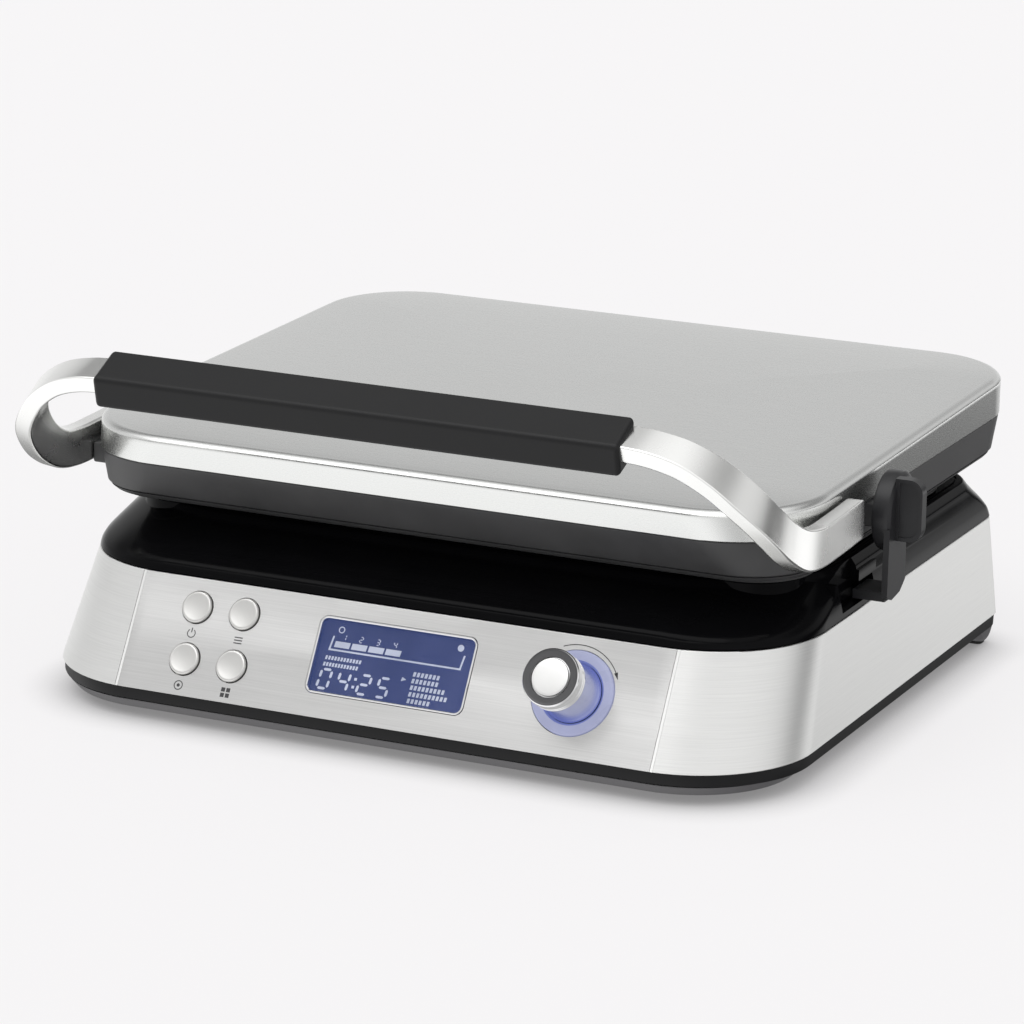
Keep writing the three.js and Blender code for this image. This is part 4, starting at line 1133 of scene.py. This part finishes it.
def spline(stations, t):
    """A smooth curve through points, t from 0 to 1, evenly by point."""
    spans = len(stations) - 1
    k = min(int(t * spans), spans - 1)
    f = t * spans - k
    p1, p2 = Vector(stations[k]), Vector(stations[k + 1])
    p0 = Vector(stations[k - 1]) if k else p1 * 2 - p2
    p3 = Vector(stations[k + 2]) if k + 2 <= spans else p2 * 2 - p1

    def pace(a, b):
        return max((a - b).length, 1e-4) ** 0.5

    d0, d1, d2 = pace(p0, p1), pace(p1, p2), pace(p2, p3)
    m1 = (p1 - p0) / d0 - (p2 - p0) / (d0 + d1) + (p2 - p1) / d1
    m2 = (p2 - p1) / d1 - (p3 - p1) / (d1 + d2) + (p3 - p2) / d2
    m1, m2 = m1 * d1, m2 * d1
    a = 2 * p1 - 2 * p2 + m1 + m2
    b = -3 * p1 + 3 * p2 - 2 * m1 - m2
    return p1 + m1 * f + b * f * f + a * f * f * f


def handle_arm(name, side):
    """The bent flat bar: its section turns as it sweeps from the grip to the lid's flank."""
    middle, across, outward = zip(*ARM_STATIONS)
    half_w, half_t = BAR_WIDE / 2, BAR_THICK / 2
    corners = ((-half_w, -half_t), (half_w, -half_t), (half_w, half_t), (-half_w, half_t))
    section = soften(corners, (1.4, 1.4, 1.0, 1.0))
    rings = []
    step = 0.002
    for i in range(ARM_STEPS + 1):
        t = i / ARM_STEPS
        c = spline(middle, t)
        along = (spline(middle, min(t + step, 1)) - spline(middle, max(t - step, 0))).normalized()
        w = spline(across, t)
        w = (w - along * w.dot(along)).normalized()
        out = spline(outward, t)
        out = (out - along * out.dot(along))
        out = (out - w * out.dot(w)).normalized()
        shrink = 0.93 if i in (0, ARM_STEPS) else 1.0
        ring = [c + w * (p * shrink) + out * (q * shrink) for p, q in section]
        rings.append([at(p.x * side, p.y, p.z) for p in ring])
    return rings_body(name, rings)


def add_handle():
    corners = ((-160.47, 154.85), (-175.19, 148.73), (-178.35, 162.7), (-159.92, 171.94))
    grip = bevel(prism("grip_cover", corners, along_x, -GRIP_HALF, GRIP_HALF), 2.3, 6)
    finish(grip, GRIP_BLACK, "lid", "soft_black", "handle_grip")
    for side, name in SIDES:
        arm = handle_arm(f"handle_bar_{name}", side)
        finish(arm, ARM_METAL, "lid", "cast_metal", f"handle_arm_{name}")
        for k, y in enumerate((-80, -60)):
            screw = arm_screw(f"arm_screw_{name}_{k + 1}", side, y)
            finish(screw, SHEET_STEEL, "lid", "steel_parts")


def arm_screw(name, side, y):
    """A flush countersunk screw on the inner face of an arm's pad, seen from below the lid."""
    profile = [(0, 0), (3.1, 0), (3.1, 0.5), (2.6, 0.9), (0, 0.9)]
    return lathe(name, profile, upright(side * 171.5, y, 98, -1), 32)


# ---------------------------------------------------------------- latch
LATCH_Y = -14.5
LATCH_Z = 104.5
LATCH_R = 18.0
LATCH_INNER = 181.0
LATCH_FACE = 187.2
LATCH_OUTER = 190.0
FIN = {"x": 201.7, "front": -24.0, "rear": -18.5, "low": 93.5, "high": 121.5, "r": 6.0}


def latch_lever():
    r, near, far = LATCH_R, LATCH_INNER, LATCH_OUTER
    turning = [(0, near), (r - 2.0, near), (r - 0.4, near + 0.5), (r, near + 1.6), (r, far - 3.2)]
    turning += [(r - 0.5, far - 1.4), (r - 1.9, far - 0.3), (r - 3.2, far), (0, far)]
    disc = lathe("latch_body", turning, lambda a, b, h: at(h, LATCH_Y + a, LATCH_Z + b), 96)
    strap_shape = ((-32, 69.4), (-26, 67), (-16, 68.5), (-9.5, 73), (-10.5, 100), (-31.5, 100))
    strap = prism("strap", strap_shape, along_x, LATCH_FACE, LATCH_OUTER - 0.02)
    toe = block("toe", 173.2, LATCH_FACE + 1, -30, -12, 66.8, 71)
    r = FIN["r"]
    fin_shape = [(LATCH_OUTER - 1, FIN["low"])]
    fin_shape += turned(FIN["x"] - r, FIN["low"] + r, r, -90, 0, 8)
    fin_shape += turned(FIN["x"] - r, FIN["high"] - r, r, 0, 90, 8)
    fin_shape.append((LATCH_OUTER - 1, FIN["high"]))
    fin = prism("fin", fin_shape, along_y, FIN["front"], FIN["rear"])
    carve(disc, [strap, toe, fin], "UNION")
    inner = [(x - (1.6 if x > LATCH_OUTER else -2.2), z) for x, z in fin_shape]
    middle = (FIN["low"] + FIN["high"]) / 2
    inner = [(x, middle + (z - middle) * 0.88) for x, z in inner]
    dish = prism("dish", inner, along_y, FIN["front"] - 1, FIN["front"] + 0.6)
    back = prism("dish", inner, along_y, FIN["rear"] - 0.6, FIN["rear"] + 1)
    carve(disc, [dish, back])
    return bevel(disc, 0.55, 3, 40)


# ---------------------------------------------------------------- hinge
HINGE_Y = 159.5
HINGE_Z = 79.0
HINGE_X = 112.3
HINGE_R = 6.5
HINGE_PIN = 3.0


def add_hinge(name, side):
    half = 5.0
    cheek = 5.0
    gap = 0.3
    reach = half + gap + cheek
    back = 149.8
    x = side * HINGE_X

    ear = [(back, 66), (154, 66), *turned(HINGE_Y, HINGE_Z, HINGE_R, -60, 105, 20), (back, 84)]
    bracket = block(f"hinge_plate_{name}", x - reach - 3, x + reach + 3, back, back + 2.1, 66, 77.5)
    for a, b in ((-reach, -half - gap), (half + gap, reach)):
        carve(bracket, [prism("ear", ear, along_x, x + a, x + b)], "UNION")
    bore = prism("bore", circle(HINGE_Y, HINGE_Z, HINGE_PIN + gap, 32), along_x, x - 20, x + 20)
    bracket = bevel(carve(bracket, [bore]), 0.5, 2, 40)
    finish(bracket, ARM_METAL, "base", "cast_metal", f"hinge_bracket_{name}")

    top = FRAME_LOW - gap
    low = top - 2.5
    knuckle = turned(HINGE_Y, HINGE_Z, HINGE_R - gap, 180, 375, 24)
    tongue = [(130, low), (150, low), *knuckle, (163, top), (130, top)]
    arm = prism(f"hinge_tongue_{name}", tongue, along_x, x - half, x + half)
    carve(arm, [block("pad", x - 13, x + 13, 126, 147, low, top)], "UNION")
    bore = prism("bore", circle(HINGE_Y, HINGE_Z, HINGE_PIN + gap, 32), along_x, x - 20, x + 20)
    finish(bevel(carve(arm, [bore]), 0.4, 2, 40), ARM_METAL, "lid", "cast_metal", f"hinge_arm_{name}")

    r = HINGE_PIN
    start = side * -(reach + 0.8)
    pin = [(0, 0), (r - 0.5, 0), (r, 0.5), (r, 2 * reach + 1.1), (r + 1.4, 2 * reach + 1.1)]
    pin += [(r + 1.8, 2 * reach + 1.5), (r + 1.8, 2 * reach + 2.2), (r + 1.2, 2 * reach + 2.8)]
    pin += [(0, 2 * reach + 2.8)]
    made = lathe(
        f"hinge_rivet_{name}",
        pin,
        lambda a, b, h: at(x + start + side * h, HINGE_Y + a, HINGE_Z + b),
        40,
    )
    finish(made, SHEET_STEEL, "base", "steel_parts", f"hinge_pin_{name}")


# ---------------------------------------------------------------- cooking plates
CELL = 22.0
ACROSS = 6
DEEP = 4
WAFFLE_GAP = 10.0
PLATE_Y = 17.2
POCKET = 12.5
PIN_HIGH = 10.0
PIN_ROOT = 7.5
PIN_TIP = 6.4
POCKET_LIP = 1.0
PLATE_SCREWS = ((-147, -70), (147, -70), (-147, 104), (147, 104))


def rim_shape(x0, y0, out):
    """Points round a pocket, one to a cell, pushed outwards by a little."""
    x1, y1 = x0 + CELL * ACROSS, y0 + CELL * DEEP
    ring = [(x0 + i * CELL, y0) for i in range(ACROSS)] + [(x1, y0 + j * CELL) for j in range(DEEP)]
    ring += [(x1 - i * CELL, y1) for i in range(ACROSS)] + [(x0, y1 - j * CELL) for j in range(DEEP)]

    def pushed(value, low, high):
        return value + out * int(2 * (value - low) / (high - low) - 1)

    return [(pushed(x, x0, x1), pushed(y, y0, y1)) for x, y in ring]


def square(x, y, half):
    return [(x + p * half, y + q * half) for p, q in ((-1, -1), (1, -1), (1, 1), (-1, 1))]


def waffle_grid(face, up):
    """Four pockets with tapered pins: points, faces, and the pockets' rims as rings of point numbers."""
    table, faces, rims = {}, [], []
    floor = face - up * POCKET
    crown = floor + up * PIN_HIGH

    def ring(shape, z):
        keys = [(round(x, 3), round(y, 3), round(z, 3)) for x, y in shape]
        return [table.setdefault(key, len(table)) for key in keys]

    def walls(low, high):
        faces.extend(zip(low, low[1:] + low[:1], high[1:] + high[:1], high))

    for sx, sy in ((-1, -1), (-1, 1), (1, -1), (1, 1)):
        x0 = sx * (CELL * ACROSS + WAFFLE_GAP) / 2 - CELL * ACROSS / 2
        y0 = PLATE_Y + sy * (CELL * DEEP + WAFFLE_GAP) / 2 - CELL * DEEP / 2
        for i in range(ACROSS):
            for j in range(DEEP):
                x, y = x0 + (i + 0.5) * CELL, y0 + (j + 0.5) * CELL
                root = ring(square(x, y, PIN_ROOT), floor)
                tip = ring(square(x, y, PIN_TIP), crown)
                walls(ring(square(x, y, CELL / 2), floor), root)
                walls(root, tip)
                faces.append(tuple(tip))
        rims.append(ring(rim_shape(x0, y0, POCKET_LIP), face))
        walls(ring(rim_shape(x0, y0, 0), floor), rims[-1])
    return [at(*key) for key in table], faces, rims


def cooking_plate(name, face, up, flange, body):
    """The plate: grid of pockets, flat land with an overflow groove, turned-down edge and back."""
    points, faces, rims = waffle_grid(face, up)
    profile = (
        (pulled(flange, 5.2), 0),
        (pulled(flange, 4.6), 1.2),
        (pulled(flange, 2.3), 1.2),
        (pulled(flange, 1.7), 0),
        (pulled(flange, 0.5), 0),
        (flange, 0.4),
        (flange, 1.1),
        (pulled(flange, 0.3), 1.4),
        (pulled(body, -0.6), 2.6),
        (pulled(body, 0.0), 3.4),
        (pulled(body, 1.2), 14.9),
        (pulled(body, 2.2), 15.5),
    )
    rings = [outline(*shape, face - up * drop, 10) for shape, drop in profile]
    count = len(rings[0])
    starts = [len(points) + k * count for k in range(len(rings))]
    points += [p for ring in rings for p in ring]
    for low, high in zip(starts, starts[1:]):
        faces += between_rings(low, high, count)
    faces.append(tuple(range(starts[-1], starts[-1] + count)))
    rims.append(list(range(starts[0], starts[0] + count)))
    work = bmesh.new()
    made = [work.verts.new(p) for p in points]
    for loop in faces:
        work.faces.new([made[i] for i in loop])
    turns = [pair for ring in rims for pair in zip(ring, ring[1:] + ring[:1])]
    land = [edge_between(work, made[a], made[b]) for a, b in turns]
    bmesh.ops.triangle_fill(work, use_beauty=True, use_dissolve=False, edges=land)
    mesh = bpy.data.meshes.new(name)
    work.to_mesh(mesh)
    work.free()
    shade(mesh)
    return in_scene(name, mesh)


def edge_between(work, a, b):
    """The edge that joins two vertices, made if it isn't there."""
    return work.edges.get((a, b)) or work.edges.new((a, b))


LOWER_TOP = 85.5
UPPER_BOTTOM = 86.3
LOWER_FLANGE = (165, -86.6, 121, 27, 27)
UPPER_FLANGE = (160.5, -83.5, 117.9, 24, 24)
LOWER_BODY = (157.5, -80, 114.4, 20, 20)
UPPER_BODY = (154, -77, 111.4, 18, 18)


def add_plates():
    for name, face, up, flange, body, rider in (
        ("lower", LOWER_TOP, 1, LOWER_FLANGE, LOWER_BODY, "base"),
        ("upper", UPPER_BOTTOM, -1, UPPER_FLANGE, UPPER_BODY, "lid"),
    ):
        plate = cooking_plate(f"{name}_grid", face, up, flange, body)
        bores = []
        for x, y in PLATE_SCREWS:
            low, high = sorted((face + up, face - up * 2.2))
            bores.append(prism("bore", circle(x, y, 3.4, 32), at, low, high))
        carve(plate, bores)
        finish(bevel(plate, 0.9, 3, 30), NONSTICK, rider, "nonstick", f"{name}_plate")
        for i, (x, y) in enumerate(PLATE_SCREWS):
            screw = screw_head(f"{name}_screw_{i + 1}", x, y, face - up * 2.0, 3.0, 1.5, up)
            finish(screw, SHEET_STEEL, rider, "steel_parts", f"{name}_plate_screw_{i + 1}")


# ---------------------------------------------------------------- CAD nodes that stay
CARRIED = (
    (BOARD_GREEN, "power_board", "control_board"),
    (TRAY_BLACK, "terminal_block"),
    (HEATER_METAL, "lower_heater", "upper_heater", "thermal_fuse"),
    (SHEET_STEEL, "transformer", "encoder", "handle_core", "latch_pivot"),
    (SHEET_STEEL, "lower_reflector", "upper_reflector", "lower_sensor", "upper_sensor"),
)


def dress_carried():
    for look, *names in CARRIED:
        for name in names:
            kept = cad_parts[name]
            if not kept.material_slots:
                kept.data.materials.append(look)
            for spot in kept.material_slots:
                spot.link = "OBJECT"
                spot.material = look


# ---------------------------------------------------------------- stage, light and camera
FLOOR_TONE = (0.16, 0.159, 0.16)
FLOOR_LIGHT = (0.745, 0.735, 0.742)
FLOOR_SIZE = 8.0
CONTACT_REACH = 0.024


def lit_table():
    """Plain pale table top, lit from below, with a short soft contact shadow."""
    made = material("studio_floor", FLOOR_TONE, 0.95, 0.0, Specular_IOR_Level=0.05)
    shader = shader_of(made)
    cloud = noise(made, 1.5, 1.0)
    paint(made, cloud, tuple(c * 0.998 for c in FLOOR_TONE), FLOOR_TONE)
    shadow = node(made, "ShaderNodeAmbientOcclusion", samples=12)
    shadow.inputs["Distance"].default_value = CONTACT_REACH
    shader.inputs["Emission Color"].default_value = (*FLOOR_LIGHT, 1)
    link(made, spread(made, shadow, "AO", 0.3, 1, 0.15, 0.95), "Result", shader, "Emission Strength")
    return made


def add_stage():
    mesh = bpy.data.meshes.new("floor")
    size = FLOOR_SIZE
    corners = [(-size, -size, 0), (size, -size, 0), (size, size, 0), (-size, size, 0)]
    mesh.from_pydata(corners, [], [(0, 1, 2, 3)])
    floor = in_scene("floor", mesh)
    mesh.materials.append(lit_table())
    floor.visible_glossy = False


def elevation_ramp(tree, height, stops):
    """A grey ramp over the sine of the elevation, from straight down to straight up."""
    ramp = tree.nodes.new("ShaderNodeValToRGB")
    span = tree.nodes.new("ShaderNodeMapRange")
    span.inputs["From Min"].default_value = -1
    tree.links.new(height, span.inputs["Value"])
    tree.links.new(span.outputs["Result"], ramp.inputs["Fac"])
    elements = ramp.color_ramp.elements
    while len(elements) < len(stops):
        elements.new(0.5)
    for element, (level_at, level) in zip(elements, stops):
        element.position = (level_at + 1) / 2
        element.color = (level, level, level, 1)
    return ramp.outputs["Color"]


# Each quarter's stops are (sine of the elevation, grey level).
FRONT_LEFT = (
    (-1.0, 1.05), (-0.4, 1.28), (-0.2, 1.12), (0.0, 0.9), (0.3, 0.7), (0.6, 0.64), (0.82, 1.08),
    (1.0, 1.2),
)
FRONT_RIGHT = (
    (-1.0, 0.55), (-0.2, 0.64), (0.05, 0.9), (0.3, 0.95), (0.6, 1.0), (0.82, 1.08), (1.0, 1.2),
)
BACK_LEFT = (
    (-1.0, 0.2), (-0.3, 0.3), (-0.2, 1.0), (0.0, 0.95), (0.15, 0.75), (0.38, 0.76), (0.52, 0.25),
    (0.72, 0.25), (0.86, 1.1),
)
BACK_RIGHT = (
    (-1.0, 0.1), (-0.28, 0.12), (-0.2, 1.35), (-0.11, 1.35), (-0.05, 0.04), (0.06, 0.04), (0.2, 0.7),
    (0.42, 0.8), (0.55, 0.25), (0.72, 0.25), (0.86, 1.1),
)
QUARTERS = (FRONT_LEFT, FRONT_RIGHT, BACK_LEFT, BACK_RIGHT)


def share_of(tree, value, low, high):
    """A soft step from 0 to 1 between two values."""
    share = tree.nodes.new("ShaderNodeMapRange")
    share.interpolation_type = "SMOOTHSTEP"
    share.inputs["From Min"].default_value = low
    share.inputs["From Max"].default_value = high
    tree.links.new(value, share.inputs["Value"])
    return share.outputs["Result"]


def blend(tree, share, first, second):
    mixed = tree.nodes.new("ShaderNodeMix")
    mixed.data_type = "RGBA"
    tree.links.new(share, mixed.inputs[0])
    tree.links.new(first, mixed.inputs[6])
    tree.links.new(second, mixed.inputs[7])
    return mixed.outputs[2]


def add_world():
    """Studio surroundings as four elevation ramps, one for each quarter of the room."""
    world = bpy.data.worlds.new("studio")
    bpy.context.scene.world = world
    world.use_nodes = True
    tree = world.node_tree
    place = tree.nodes.new("ShaderNodeTexCoord")
    split = tree.nodes.new("ShaderNodeSeparateXYZ")
    tree.links.new(place.outputs["Generated"], split.inputs["Vector"])
    quarters = [elevation_ramp(tree, split.outputs["Z"], stops) for stops in QUARTERS]
    front = blend(tree, share_of(tree, split.outputs["X"], 0.0, 0.6), *quarters[:2])
    behind = blend(tree, share_of(tree, split.outputs["X"], -0.1, 0.3), *quarters[2:])
    everywhere = blend(tree, share_of(tree, split.outputs["Y"], 0.0, 0.5), front, behind)
    background = tree.nodes["Background"]
    tree.links.new(everywhere, background.inputs["Color"])
    background.inputs["Strength"].default_value = 1.0


def sun(name, direction, irradiance, spread_deg):
    """A very soft, even light from a direction."""
    data = bpy.data.lights.new(name, "SUN")
    data.energy = irradiance
    data.angle = math.radians(spread_deg)
    made = in_scene(name, data)
    made.rotation_euler = Vector(direction).to_track_quat("-Z", "Y").to_euler()
    made.location = -Vector(direction)


def add_lights():
    sun("overhead_soft", (0.15, 0.35, -1.0), 0.85, 50)
    sun("left_soft", (0.9, 0.5, -0.8), 0.12, 60)


SENSOR = 36.0
LENS = 157.8934
CAMERA_PLACE = (836.32, -1805.65, 622.55)
CAMERA_TURNS = (25.011, -15.362, 0.883)  # yaw, pitch and roll in degrees


def add_camera():
    data = bpy.data.cameras.new("view")
    data.sensor_width = SENSOR
    data.lens = LENS
    data.clip_end = 30
    camera = in_scene("view", data)
    place = at(*CAMERA_PLACE)
    yaw, pitch, roll = (math.radians(a) for a in CAMERA_TURNS)
    level = math.cos(pitch)
    forward = Vector((-math.sin(yaw) * level, math.cos(yaw) * level, math.sin(pitch)))
    right = forward.cross(Vector((0, 0, 1))).normalized()
    up = right.cross(forward)
    turned_right = right * math.cos(roll) + up * math.sin(roll)
    turned_up = up * math.cos(roll) - right * math.sin(roll)
    axes = Matrix((turned_right, turned_up, -forward)).transposed()
    camera.matrix_world = Matrix.Translation(place) @ axes.to_4x4()
    bpy.context.scene.camera = camera


def set_view():
    view = bpy.context.scene.view_settings
    view.view_transform = "Standard"
    view.look = "None"
    view.exposure = 0.0


add_camera()
add_lid()
add_base()
add_display()
add_buttons()
add_dial()
add_handle()
finish(latch_lever(), LATCH_BLACK, "latch", "soft_black", "latch_lever")
for turned_side, side_name in SIDES:
    add_hinge(side_name, turned_side)
add_plates()
dress_carried()
add_stage()
add_world()
add_lights()
set_view()
